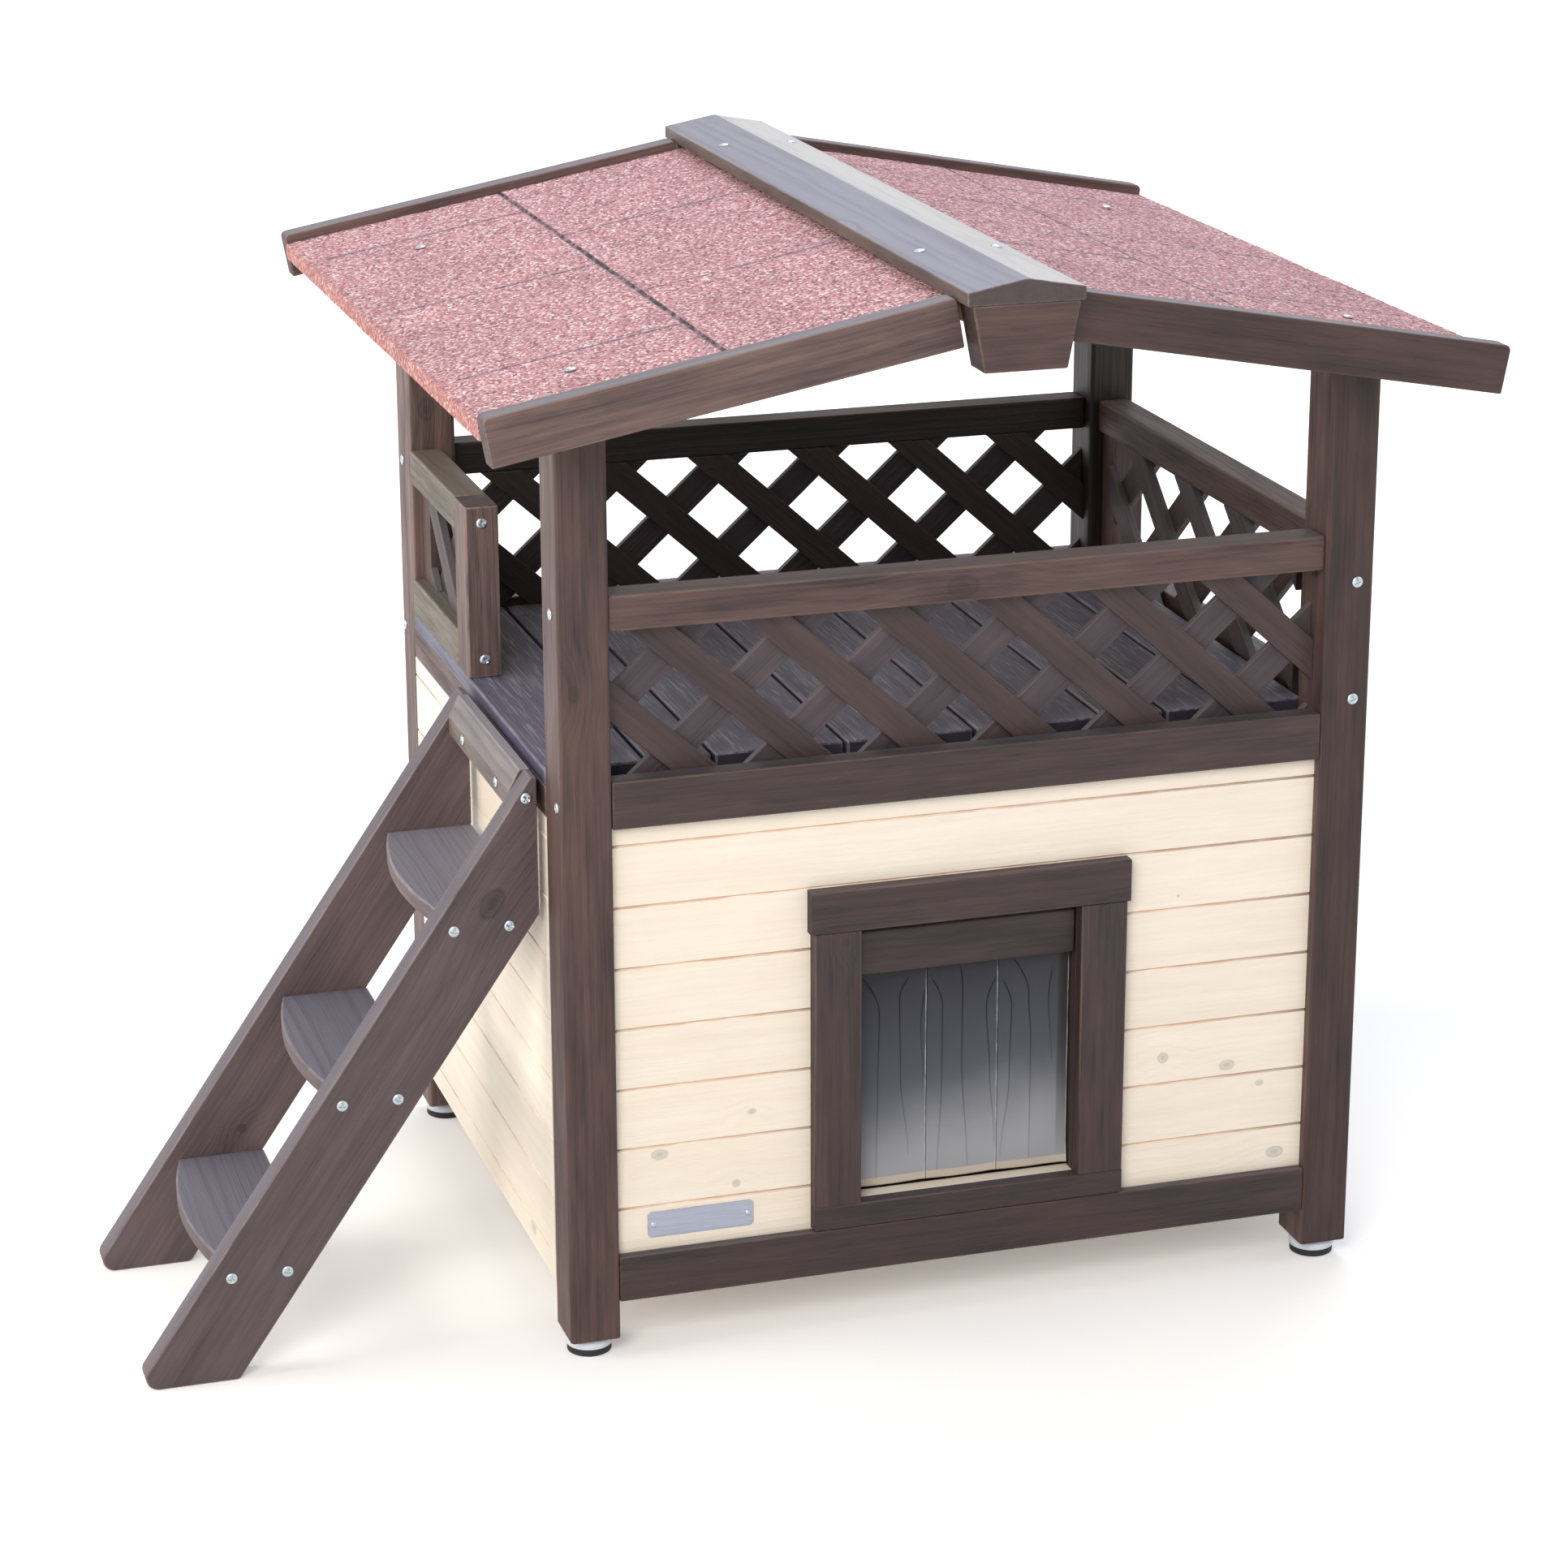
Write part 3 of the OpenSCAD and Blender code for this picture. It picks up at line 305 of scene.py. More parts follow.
def arc(centre, radius, start, end, steps):
    return [(centre[0] + radius * cos(start + (end - start) * i / steps),
             centre[1] + radius * sin(start + (end - start) * i / steps))
            for i in range(steps + 1)]


def rounded(w, d, r):
    """A rectangle with round corners."""
    corners = ((w - r, r, -90), (w - r, d - r, 0), (r, d - r, 90), (r, r, 180))
    return [p for x, y, turn in corners
            for p in arc((x, y), r, radians(turn), radians(turn + 90), 6)]


stained_spruce = timber("stained_spruce", "#5e4640", "#2c2020", "#76737a", 0.72, "#82695c",
                        depth=1.6)
# Faces of the posts are painted lighter or darker: painted light and shade, darkest on the back
# right post under the roof
for name, knot, painted_face_light in (
        ("front_left", ((10.5, 0, 488), 4), {"front": -0.7, "left": -0.2}),
        ("front_right", None, {"front": -2.3, "left": 0.9}),
        ("back_left", ((14, 453, 583), 6), {"left": 2.4, "front": 2.4}),
        ("back_right", None, {"front": -3.4, "left": -3.4})):
    low, high = node_box("post_" + name)
    post = sawn(rounded(POST_W, POST_D, POST_ROUND),
                lambda a, b: ROOF_UNDER - abs(low.x + a - RIDGE_X) * ROOF_SLOPE - low.z,
                low, X, Y, rounding=0.8, facet=1.5, knot=knot, tint=0.0, **painted_face_light)
    place(name + "_post", [post], stained_spruce, "post_" + name)

# Feet: round glides injection-moulded in white polyethylene, each screwed up into a post,
# on a disc of black rubber with a pressed grip. The plastic is smooth with a soft gloss.
GLIDE = ((0, 5), (12, 5), (15.2, 5), (16.1, 5.5), (16.5, 6.4), (16.5, 9.6), (16.2, 10.6),
         (15.4, 11.3), (15.1, 12.6), (14.6, 13.6), (13.6, 14), (0, 14))
SOLE = ((0, 0.6), (4, 0.6), (4.3, 0), (7, 0), (7.3, 0.6), (9, 0.6), (9.3, 0), (12, 0),
        (12.3, 0.6), (13.4, 0.6), (13.7, 0), (14.9, 0), (15.6, 0.5), (15.75, 1.2), (15.75, 4.6),
        (15.4, 5), (0, 5))


def turned(profile, spot, axis=Z, facets=40, dent=None, spin=0.0):
    """A round piece: a profile of radius and height, turned about an axis at a spot. dent
    presses a pattern into it, and spin is how far that is turned."""
    spot, axis = Vector(spot), Vector(axis).normalized()
    side = Matrix.Rotation(spin, 3, axis) @ axis.orthogonal().normalized()
    other = axis.cross(side)
    points, rings, faces = [], [], []
    for r, h in profile:
        first = len(points)
        for i in range(facets if r else 1):
            turn = 2 * pi * i / facets
            x, y = r * cos(turn), r * sin(turn)
            p = spot + side * x + other * y + axis * (dent(x, y, h) if dent else h)
            points.append(corner + p / 1000)
        # On the axis there is one point, which all the facets share
        rings.append([*range(first, len(points))] if r else [first] * facets)
    for low, high in zip(rings, rings[1:]):
        for i in range(facets):
            j = (i + 1) % facets
            faces.append([*dict.fromkeys((low[i], low[j], high[j], high[i]))])
    return points, faces, {}


def speckled(name, body, mark, rough, marks, detail=3.0, strength=0.15, depth=0.0003,
             metallic=0.0):
    """One colour all through with fine marks: a moulded skin, or metal brushed one way."""
    finish, put = new_finish(name)
    skin = streaks(put, put("TexCoord")["Object"], marks, detail)
    tone = put("Mix RGBA", {0: skin, 6: body, 7: mark})[2]
    gloss = put("MapRange", (skin, 0.0, 1.0, *rough))[0]
    surface(put, tone, gloss, skin, strength, depth, metallic)
    return finish


white_polyethylene = speckled("white_polyethylene", "#e6eef6", "#d8e1ea", (0.3, 0.48), [500] * 3)
black_rubber = speckled("black_rubber", "#1b1a1b", "#2b2a2b", (0.64, 0.82), [1000 / 1.2] * 3)
feet = [(x, y, 0) for x in (POST_W / 2, WIDE - POST_W / 2) for y in (POST_D / 2, DEEP - POST_D / 2)]
place("foot_discs_white", [turned(GLIDE, foot) for foot in feet], white_polyethylene,
      "foot_glides")
place("foot_discs_black", [turned(SOLE, foot) for foot in feet], black_rubber,
      "foot_soles")

# Base rails: thin planed boards of the same stained spruce, nailed over the foot of the walls
# at the front and back. They hang lowest and are the darkest wood of the house.
base_spruce = timber("stained_spruce_dark", "#453331", "#1e1718", "#66636a", 0.5, "#74594e",
                     depth=1.5)


def bar(low, high, along, through=None, **ways):
    """A straight piece between two corners, its grain along one of the house's axes."""
    low, high = Vector(low), Vector(high)
    span, u, v = high - low, along.zxy, along.yzx
    a, b = span.dot(u), span.dot(v)
    return sawn([(0, 0), (a, 0), (a, b), (0, b)], span.dot(along), low, u, v, through=through,
                **ways)


def board(name, node, finish, along, through, **ways):
    """A board that fills the box of its node."""
    place(name, [bar(*node_box(node), along, through, **ways)], finish, node)


# Their front faces are painted darker: painted shade
for node in ("base_rail_front", "base_rail_back"):
    board(node + "_board", node, base_spruce, X, Y, rounding=1.2, front=-0.9)

# Cabin floor: a sheet of raw plywood, notched round the posts, on two square battens of raw
# spruce that are nailed to the walls.
BATTEN, FLOOR_Z = 20, 65
low, high = node_box("floor_panel")
# The inner faces of the posts
x0, x1, y0, y1 = POST_W, WIDE - POST_W, POST_D, DEEP - POST_D
notched = [(x0, low.y), (x1, low.y), (x1, y0), (high.x, y0), (high.x, y1), (x1, y1),
           (x1, high.y), (x0, high.y), (x0, y1), (low.x, y1), (low.x, y0), (x0, y0)]
raw_spruce = timber("raw_spruce", "#dcbd92", "#c09a6c", "#cdb491", 0.2, "#e3cda9", wear=0.3,
                    ring=6, rough=0.72, knot_dark="#8a5f3c")
sheet = sawn(notched, high.z - low.z, (0, 0, low.z), X, Y, along=X, through=Z, rounding=0.4)
place("cabin_floor", [sheet], raw_spruce, "floor_panel")
place("cabin_floor_battens",
      [bar((x, y0, FLOOR_Z - BATTEN), (x + BATTEN, y1, FLOOR_Z), Y) for x in (12, 558)],
      raw_spruce, "floor_bearers")

# Walls: spruce boards, tongue and groove, laid level and nailed between the posts, finished in
# a cream lacquer. The bevels meet in V grooves, where the lacquer is thin and warmer.
WALL_T, WALL_IN, WALL_FOOT, WALL_TOP = 12, 8.5, 45, 389.5
GROOVE, PITCH, BEVEL, JOINT = 375.3, 44.5, 1.0, 0.2
DOOR = (212.5, 375.5, 94.5, 299)
SHADE_SHEET_T = 0.2


def wall(origin, inward, run, length, knots, door=(0, 0, 0, 0)):
    """The boards of one wall: outer face at origin, inward its thickness, run along its length.
    door is where the doorway starts and ends along the wall, and its sill and its top."""
    origin, made = Vector(origin), []
    a, b, sill, top = door
    rows = floor((GROOVE - WALL_FOOT) / PITCH + 1)
    for i in range(rows + 1):
        low = GROOVE + (i - rows) * PITCH
        foot, high = max(low, WALL_FOOT), min(low + PITCH - JOINT, WALL_TOP)
        below, above = max(foot, sill), min(high, top)
        cuts = [(foot, high, 0, length)]
        if below < above:
            cuts = [(foot, below, 0, length), (above, high, 0, length), (below, above, 0, a),
                    (below, above, b, length)]
        shade = shuffle.uniform(-0.1, 0.1)
        state = shuffle.getstate()
        for lower, upper, start, end in cuts:
            if lower == upper:
                continue
            # Every piece of one board draws the same log
            shuffle.setstate(state)
            knot = next((k for k in knots if foot < k[0][2] < high
                         and start < (Vector(k[0]) - origin).dot(run) < end), None)
            # Only whole edges have a bevel: none at the doorway, and none at the wall's ends
            under, over = BEVEL * (lower == low), BEVEL * (upper == high < WALL_TOP)
            outline = [(under, lower), (WALL_T, lower), (WALL_T, upper), (over, upper)]
            outline += [(0, upper - over)] if over else []
            outline += [(0, lower + under)] if under else []
            points, faces, layers = sawn(outline, end - start, origin + run * start, inward, Z,
                                         through=inward, rounding=0, knot=knot, tint=shade)
            # Grain is counted from the middle of an outline, so a cut piece is moved along
            middle = sum(z for x, z in outline) / len(outline)
            shift = Vector((start, middle - (foot + high) / 2, 0)) / 1000
            layers["grain"] = [grain + shift for grain in layers["grain"]]
            made.append((points, faces, layers))
    return made


cream_lacquer = timber("cream_lacquered_spruce", "#faf0e0", "#efe0cb", "#f5ead8", 0.1, "#e5c4ac",
                       wear=1.0, ring=4.4, depth=1.0, rough=0.42, knot_dark="#abada5", soak=0.0)
front_knots = [((534, 8.5, 88), 4.5), ((494, 8.5, 161), 4), ((520, 8.5, 144), 2.2),
               ((68, 8.5, 146), 4), ((135, 8.5, 170), 2.2)]
doorway = (DOOR[0] - x0, DOOR[1] - x0, *DOOR[2:])
boards = wall((x0, WALL_IN, 0), Y, X, x1 - x0, front_knots, doorway)
# The doorway's inner faces carry thin dark sheets of the frame's stain: painted shade
reveal_shade_sheets = [bar((x, WALL_IN, DOOR[2]), (x + SHADE_SHEET_T, WALL_IN + WALL_T, DOOR[3]), Z, Y, rounding=0,
            tint=0.0) for x in (DOOR[0], DOOR[1] - SHADE_SHEET_T)]
place("front_wall_boards", boards, cream_lacquer, "wall_front",
      also=(base_spruce, reveal_shade_sheets))
for name, origin, inward, run, length, knots in (
        ("back", (x1, DEEP - WALL_IN, 0), -Y, -X, x1 - x0, ()),
        ("left", (0, y1, 0), X, -Y, y1 - y0, (((0, 105, 59), 5), ((0, 300, 230), 4))),
        ("right", (WIDE, y0, 0), -X, Y, y1 - y0, (((590, 180, 130), 4), ((590, 330, 270), 5)))):
    place(name + "_wall_boards", wall(origin, inward, run, length, knots), cream_lacquer,
          "wall_" + name)

# Rails round the deck: planed boards between the posts, screwed through the posts, that cover
# the upper edge of the walls and carry the deck boards at the left.
for name, along, through, finish, shade in (
        ("front", X, Y, base_spruce, -0.2), ("back", X, Y, stained_spruce, -0.6),
        ("left", Y, X, stained_spruce, 0.1), ("right", Y, X, stained_spruce, 0.0)):
    node = "deck_rail_" + name
    board(node + "_board", node, finish, along, through, tint=shade)

# Deck: three beams notched round the posts, and boards nailed across them with open joints.
# The boards are blue-grey, with pale streaks along the grain: partly weathered stain, partly a
# painted reflection of the sky. Their cut ends are darker: end grain, and painted shade as well.
DECK_Z, DECK_T, DECK_FOOT, DECK_END = 423.5, 12, 391.5, 557.5
BEAM_T, FIRST_BOARD, BOARD_W, BOARD_GAP = 20, 70, 44.6, 3
front_beam = [(17, 42), (36, 42), (36, 28), (554, 28), (554, 42), (573, 42), (573, 58), (17, 58)]
middle_beam = [(17, 232.5), (573, 232.5), (573, 262.5), (17, 262.5)]
back_beam = [(x, DEEP - y) for x, y in front_beam[::-1]]
place("deck_beam_boards",
      [sawn(outline, BEAM_T, (0, 0, DECK_FOOT), X, Y, along=X, through=Z)
       for outline in (front_beam, middle_beam, back_beam)],
      base_spruce, "deck_beams")
edges = [(0, FIRST_BOARD)]
while edges[-1][1] + BOARD_GAP < DECK_END - BOARD_W - BOARD_GAP:
    edges.append((edges[-1][1] + BOARD_GAP, edges[-1][1] + BOARD_GAP + BOARD_W))
edges[-1] = (edges[-1][0], DECK_END)
deck_spruce = timber("stained_spruce_deck", "#625f79", "#2e2b38", "#64657b", 0.75, "#85848a",
                     wear=0.5, ring=5, rough=0.5, knot_dark="#262123", silver=0.85, soak=1.0)
place("deck_surface_boards",
      [bar((a, y0, DECK_Z - DECK_T), (b, y1, DECK_Z), Y, Z, rounding=1.6) for a, b in edges],
      deck_spruce, "deck_boards")

# Handrails, the short post beside the stairs and the upright battens: square planed bars, their
# edges eased, screwed through the posts. Those at the left have a lighter copy of the stain:
# painted light.
BATTEN_SIDE, BATTEN_T, RAIL_UNDER, LEFT_RAIL_H = 25, 12, 527, 27.5
left_lit_spruce = timber("stained_spruce_sunned", "#665d50", "#38322b", "#716c68", 0.6, "#8a8072",
                       wear=0.5, depth=1.4)
# Faces are painted lighter or darker: painted shade under the roof on the back handrail, painted
# light on the newel and the left pieces
for node, along, through, knot, painted_face_light in (
        ("handrail_front", X, Y, ((286, 4.5, 538), 8), {"front": 0.1}),
        ("handrail_back", X, Y, None, {"front": -3.5, "top": -1.0}),
        ("handrail_right", Y, X, None, {"left": -0.2}),
        ("handrail_left", Y, X, None, {"left": 1.0, "top": 0.6}),
        ("newel", Z, Y, None, {"left": 2.9, "front": 3.2}),
        ("lattice_rail_left", Y, X, None, {"left": 1.2})):
    board(node + "_bar", node, left_lit_spruce if "_left" in node else stained_spruce, along,
          through, rounding=1.6, knot=knot, tint=0.0, **painted_face_light)
battens = [bar((WIDE - BATTEN_SIDE, y, DECK_Z), (WIDE, y + BATTEN_SIDE, RAIL_UNDER), Z, X)
           for y in (y0, y1 - BATTEN_SIDE)]
battens.append(bar((WALL_IN, y1 - BATTEN_SIDE, DECK_Z + LEFT_RAIL_H),
                   (WALL_IN + BATTEN_T, y1, RAIL_UNDER), Z, X, rounding=0.8))
place("lattice_end_battens", battens, stained_spruce, "lattice_battens")

# Lattices: two layers of thin laths, crossed and nailed to each other and behind the rails,
# cut off level under the handrail. The layers took the stain differently.
LATH_W, LATH_T, LATH_FOOT = 22, 6, DECK_Z - 8
LATH_REACH, SLIVER = 400, 4


def clipped(polygon, limits):
    """A polygon cut to a window: each limit is an axis, a value and the side that stays."""
    for axis, value, keep in limits:
        kept = []
        for i, p in enumerate(polygon):
            q = polygon[i - 1]
            inside, before = (p[axis] - value) * keep >= 0, (q[axis] - value) * keep >= 0
            if inside != before:
                t = (value - q[axis]) / (p[axis] - q[axis])
                kept.append((q[0] + t * (p[0] - q[0]), q[1] + t * (p[1] - q[1])))
            if inside:
                kept.append(p)
        polygon = kept
    return polygon


def laths(window, pitch, angle, start, origin, run, inward, dim):
    """One layer: parallel laths in a window, which is its two ends and its foot; start is
    where one crosses the deck's height. dim is how much darker their front faces are painted:
    painted shade."""
    x0, x1, z0 = window
    c, s = cos(radians(angle)), sin(radians(angle))
    # Where the plane's own axes turn outward, the laths are made from their inner face out
    at = origin + inward * LATH_T if run.cross(Z).dot(inward) < 0 else origin
    made, half = [], LATH_W / 2
    whole = (-LATH_REACH, -half), (LATH_REACH, -half), (LATH_REACH, half), (-LATH_REACH, half)
    for i in range(-4, 14):
        cut = [(start + i * pitch + a * c - b * s, DECK_Z + a * s + b * c) for a, b in whole]
        cut = clipped(cut, ((0, x0, 1), (0, x1, -1), (1, z0, 1), (1, RAIL_UNDER, -1)))
        area = sum(p[0] * q[1] - q[0] * p[1] for p, q in zip(cut, cut[1:] + cut[:1])) / 2
        if abs(area) >= SLIVER:
            shade = shuffle.uniform(-0.6, 0.0)
            made.append(sawn(cut, LATH_T, at, run, Z, along=run * c + Z * s, through=inward,
                             rounding=0.6, tint=shade, front=-dim))
    return made


lath_reddish = timber("stained_spruce_lath_red", "#4b3a38", "#2a2020", "#706e76", 0.55,
                      "#6f584b", wear=0.3, ring=3.2)
lath_grey = timber("stained_spruce_lath_grey", "#53464b", "#31292c", "#77757c", 0.55, "#786b6d",
                   wear=0.3, ring=3.6)
# The back lattice's front faces are painted darker: painted shade under the roof
for name, ends, foot, pitch, angle, starts, origin, run, inward, dim in (
        ("front", (x0, x1), LATH_FOOT, 82.5, 42.2, (15, 74.4), (0, 17.5, 0), X, Y, 0.0),
        ("back", (x0, x1), LATH_FOOT, 82.5, 42.2, (23.7, 63.4), (0, 465.5, 0), X, Y, 1.9),
        ("right", (67, 428), LATH_FOOT, 96, 40, (387, 156), (573, 0, 0), Y, -X, 0.0),
        ("left", (303, 428), DECK_Z + LEFT_RAIL_H, 82.5, 42.2, (447, 315), (20.5, 0, 0), Y, -X,
         0.0)):
    window, origin = (*ends, foot), Vector(origin)
    near = laths(window, pitch, -angle, starts[0], origin, run, inward, dim)
    rear = laths(window, pitch, angle, starts[1], origin + inward * LATH_T, run, inward, dim)
    place(name + "_lattice_laths", near, lath_reddish, "lattice_" + name, also=(lath_grey, rear))

# Door frame: four planed boards nailed on the wall round the doorway, the lintel over the jambs.
# Their front corners are eased and their backs lie flat and sharp on the wall.
EASE = 1.3
eased = [(EASE * (1 - sin(i * pi / 6)), EASE * (1 - cos(i * pi / 6))) for i in range(4)]
for node, shade in (("door_lintel", -0.4), ("door_jamb_left", 0.0), ("door_jamb_right", -0.5),
                    ("door_sill_board", -1.3)):
    low, high = node_box(node)
    span = high - low
    # Places across the board and back from its face
    breadth = min(span.x, span.z)
    face = eased[::-1] + [(breadth - x, y) for x, y in eased] + [(breadth, span.y), (0, span.y)]
    length, u, v = span.z, X, Y
    if span.x > span.z:
        face = [(y, x) for x, y in face[::-1]]
        length, u, v = span.x, Y, Z
    made = sawn(face, length, low, u, v, through=Y, rounding=0, facet=1.2, tint=shade)
    place(node + "_board", [made], base_spruce, node)

# Strip curtain: three strips of clear soft PVC, 2 mm thick, cut from a roll and clamped by
# their heads between a wooden bar and a cleat behind the wall. Each swings under the bar.
# The roll leaves long creases, and the strips are cloudier towards their rubbed lower ends.
# They are painted dark at the top and pale lower down: painted reflection and shade.
board("curtain_clamp_bar", "curtain_bar", base_spruce, X, Y, rounding=1.2, tint=-1.6)
board("curtain_back_cleat", "curtain_cleat", base_spruce, X, Y, rounding=1.2, tint=-0.4)
# Each crease is a line of places across and up
CREASES = {
    "left": (((218, 258), (232, 227), (231, 167), (230, 97)),
             ((256, 256), (247, 238), (248, 178), (254, 119)),
             ((266, 244), (263, 216), (265, 175))),
    "middle": (((270, 252), (279, 228), (279, 174), (276, 97)),
               ((292, 259), (294, 239), (294, 186), (299, 99)),
               ((320, 248), (312, 224), (315, 176), (319.5, 118))),
    "right": (((323, 245), (331, 222), (330, 167), (324, 107)),
              ((331, 260), (344, 229), (346, 193), (346, 99)),
              ((362, 250), (359, 225), (362, 177)))}
STRIP_T, DOOR_MIDDLE = 2.0, 294
STRIP_MARKS = "drop", "crease", "shine", "foot", "band"

# The skin is painted dark under the bar and pale lower down, a painted reflection and painted
# shade, and the cream sill is painted on at the foot
pvc, put = new_finish("clear_soft_pvc")
drop, crease, shine, foot, band = (put("Attribute " + title)["Fac"] for title in STRIP_MARKS)
where = put("TexCoord")["Object"]
haze = put("TexNoise", {"Vector": where, "Scale": 22.0, "Detail": 3.0})[0]
level = put("Math MULTIPLY_ADD", (haze, 0.12, drop))[0]
upper = put("MapRange", (level, 0.05, 0.55))[0]
lower = put("MapRange SMOOTHSTEP", (level, 0.5, 1.0))[0]
# A painted highlight: the glint along the right edge, broken into dashes
glint_dashes = put("MapRange", (streaks(put, where, (900, 900, 120), 2.0), 0.4, 0.6, 0.35, 1.0))[0]
glint = put("Math MULTIPLY", (shine, glint_dashes))[0]
# The cream sill is painted on at the foot: a painted reflection of the sill
painted_sill_view = put("MapRange", (foot, 6.4, 5.4, 0.0, 0.85))[0]
rim = put("MapRange", (foot, 0.8, 0.3, 0.0, 0.5))[0]
tone = "#2b2a32"
# Coats of painted light: reflection above and below, the doorway's right face reflected at the
# right edge, shade in the creases, the sill at the foot, the glint; and a darker lower edge
for factor, over in (
        (upper, "#52555e"), (lower, "#a0a1a5"), (band, "#37322f"), (crease, "#08080c"),
        (painted_sill_view, "#cbbfac"), (glint, "#d3d9dd"), (rim, "#6d6661")):
    tone = put("Mix RGBA", {0: factor, 6: tone, 7: over})[2]
# Dust and fine rubbing take most of the mirror out of the skin, and all of it in a crease
gleam = put("MapRange", (crease, 0.0, 1.0, 0.2, 0.0))[0]
skin = put("BsdfPrincipled", {"Base Color": tone, "Roughness": 0.2, "IOR": 1.53,
                              "Specular IOR Level": gleam})[0]
clear = put("BsdfTransparent", ("#e9eef2",))[0]
cloud = put("MapRange", (drop, 0.0, 1.0, 0.93, 0.96))[0]
put("OutputMaterial", (put("MixShader", (cloud, clear, skin))[0],))


def crease_at(line, z):
    """Where a crease runs at a height, how strong it still is there, and how much it leans."""
    for i, ((x0, z0), (x1, z1)) in enumerate(zip(line, line[1:])):
        if z1 <= z <= z0:
            k = (z0 - z) / (z0 - z1)
            bend, lean = k * k * (3 - 2 * k), 0
            if i == 0:
                bend = sin(k * pi / 2)
                lean = cos(k * pi / 2) * pi / 2 * (x1 - x0) / (z0 - z1)
            gone = line[0][1] - z
            strength = min(1, gone / 5) * (1 - 0.75 * gone / (line[0][1] - line[-1][1]))
            return x0 + (x1 - x0) * bend, strength, hypot(1, lean)
    return 0, 0, 1


def strip_sheet(low, high, creases=(), curl=0.0):
    """A strip as a sheet with two skins: bowed, creased, its lower edge not quite straight.
    One without creases is flat. curl bends its right lower corner."""
    wide, tall = high.x - low.x, high.z - low.z
    # Rows are close together near the top, where the creases lean
    cols, rows, spread = (118, 90, 1.02) if creases else (8, 4, 1.01)
    tops = [(spread ** i - 1) / (spread ** rows - 1) for i in range(rows + 1)]
    points, faces, marks = [], [], []
    for skin in (0, STRIP_T):
        for t, s in ((t, j / cols) for t in tops for j in range(cols + 1)):
            x, z = low.x + wide * s, high.z - tall * t
            out, drop, crease, shine, foot, band = 0.0, 0.0, 0.0, 0.0, 20.0, 0.0
            if creases:
                out = 0.45 * sin(pi * s) - 0.15 * cos(9 * s + 2 * t)
                out *= min(1, t * 2.2)
                for line in creases:
                    at, strength, lean = crease_at(line, z)
                    off = (x - at) / lean
                    # The dark line along a crease is painted shade
                    crease = max(crease, 0.95 * strength * exp(-(off / 0.42) ** 2))
                    out -= 0.2 * strength * exp(-(off / 2.2) ** 2)
                # The crumpled corner, and the lower edge that sags in the middle
                out += curl * max(0.0, s - 0.6) ** 2 * max(0.0, t - 0.88) ** 1.2 * 160
                z += 0.7 * t ** 3 * (1 - sin(pi * min(1, s * 1.1)) ** 0.7)
                edge = (1 - s) * wide
                drop = t + (x - DOOR_MIDDLE) * 0.0009
                # A painted highlight along the right edge of each strip
                shine = 0.9 * max(0.0, 1 - edge / 0.75) * min(1, t * 12)
                foot = tall * (1 - t)
                # A painted reflection of the doorway's right face darkens the right edge of the
                # right strip
                if curl:
                    band = 0.8 * max(0.0, min(1, (8.5 - edge) / 1.2)) * (1 - t ** 2)
            points.append(corner + Vector((x, low.y + skin + out, z)) / 1000)
            marks.append((drop, crease, shine, foot, band))
    row, side = cols + 1, len(points) // 2
    for i in range(rows):
        for a in range(i * row, i * row + cols):
            faces.append((a, a + row, a + row + 1, a + 1))
            faces.append([p + side for p in (a, a + 1, a + row + 1, a + row)])
    edge = [*range(cols), *range(cols, side - 1, row), *range(side - 1, side - row, -1),
            *range(side - row, 0, -row)]
    faces += [(a, b, b + side, a + side) for a, b in zip(edge, edge[1:] + edge[:1])]
    return points, faces, dict(zip(STRIP_MARKS, zip(*marks)))


heads = []
head_low, head_high = node_box("strip_heads")
for name, curl in (("left", 0.0), ("middle", 0.0), ("right", -1.0)):
    low, high = node_box("strip_" + name)
    place(name + "_door_strip", [strip_sheet(low, high, CREASES[name], curl)], pvc,
          "strip_" + name, name + "_flap", sharp=40)
    heads.append(strip_sheet(Vector((low.x, *head_low.yz)), Vector((high.x, *head_high.yz))))
place("door_strip_heads", heads, pvc, "strip_heads", sharp=40)

# Name plate: a blank stamped plate of aluminium, brushed along its length, its corners rounded,
# held on the front wall by two round-headed pins.
PIN_HEAD = ((1.92, -0.01), (1.92, 0.25), (1.6, 0.55), (1.0, 0.74), (0, 0.8))
PIN_BODY = ((0, -1), (1.2, -1), (1.2, 0), (0, 0))
low, high = node_box("name_plate")
brushed_aluminium = speckled("brushed_aluminium", "#b5bdcf", "#9a9dac", (0.32, 0.52),
                             (40, 900, 1400), 4.0, 0.2, 0.0001, 1.0)
zinc_plate = speckled("zinc_plated_steel", "#c9d2d8", "#a9b3ba", (0.22, 0.42), [900] * 3, 4.0,
                      0.2, 0.0001, 1.0)
plate = sawn(rounded(high.x - low.x, high.z - low.z, 3.2), high.y - low.y,
             (low.x, high.y, low.z), X, Z, rounding=0.3, facet=1.5)
place("blank_plate", [plate], brushed_aluminium, "name_plate")
pins = [turned(shape, (x, low.y, (low.z + high.z) / 2), -Y, 24)
        for x in (low.x + 4, high.x - 4) for shape in (PIN_HEAD, PIN_BODY)]
place("blank_plate_pins", pins, zinc_plate, "plate_pins")

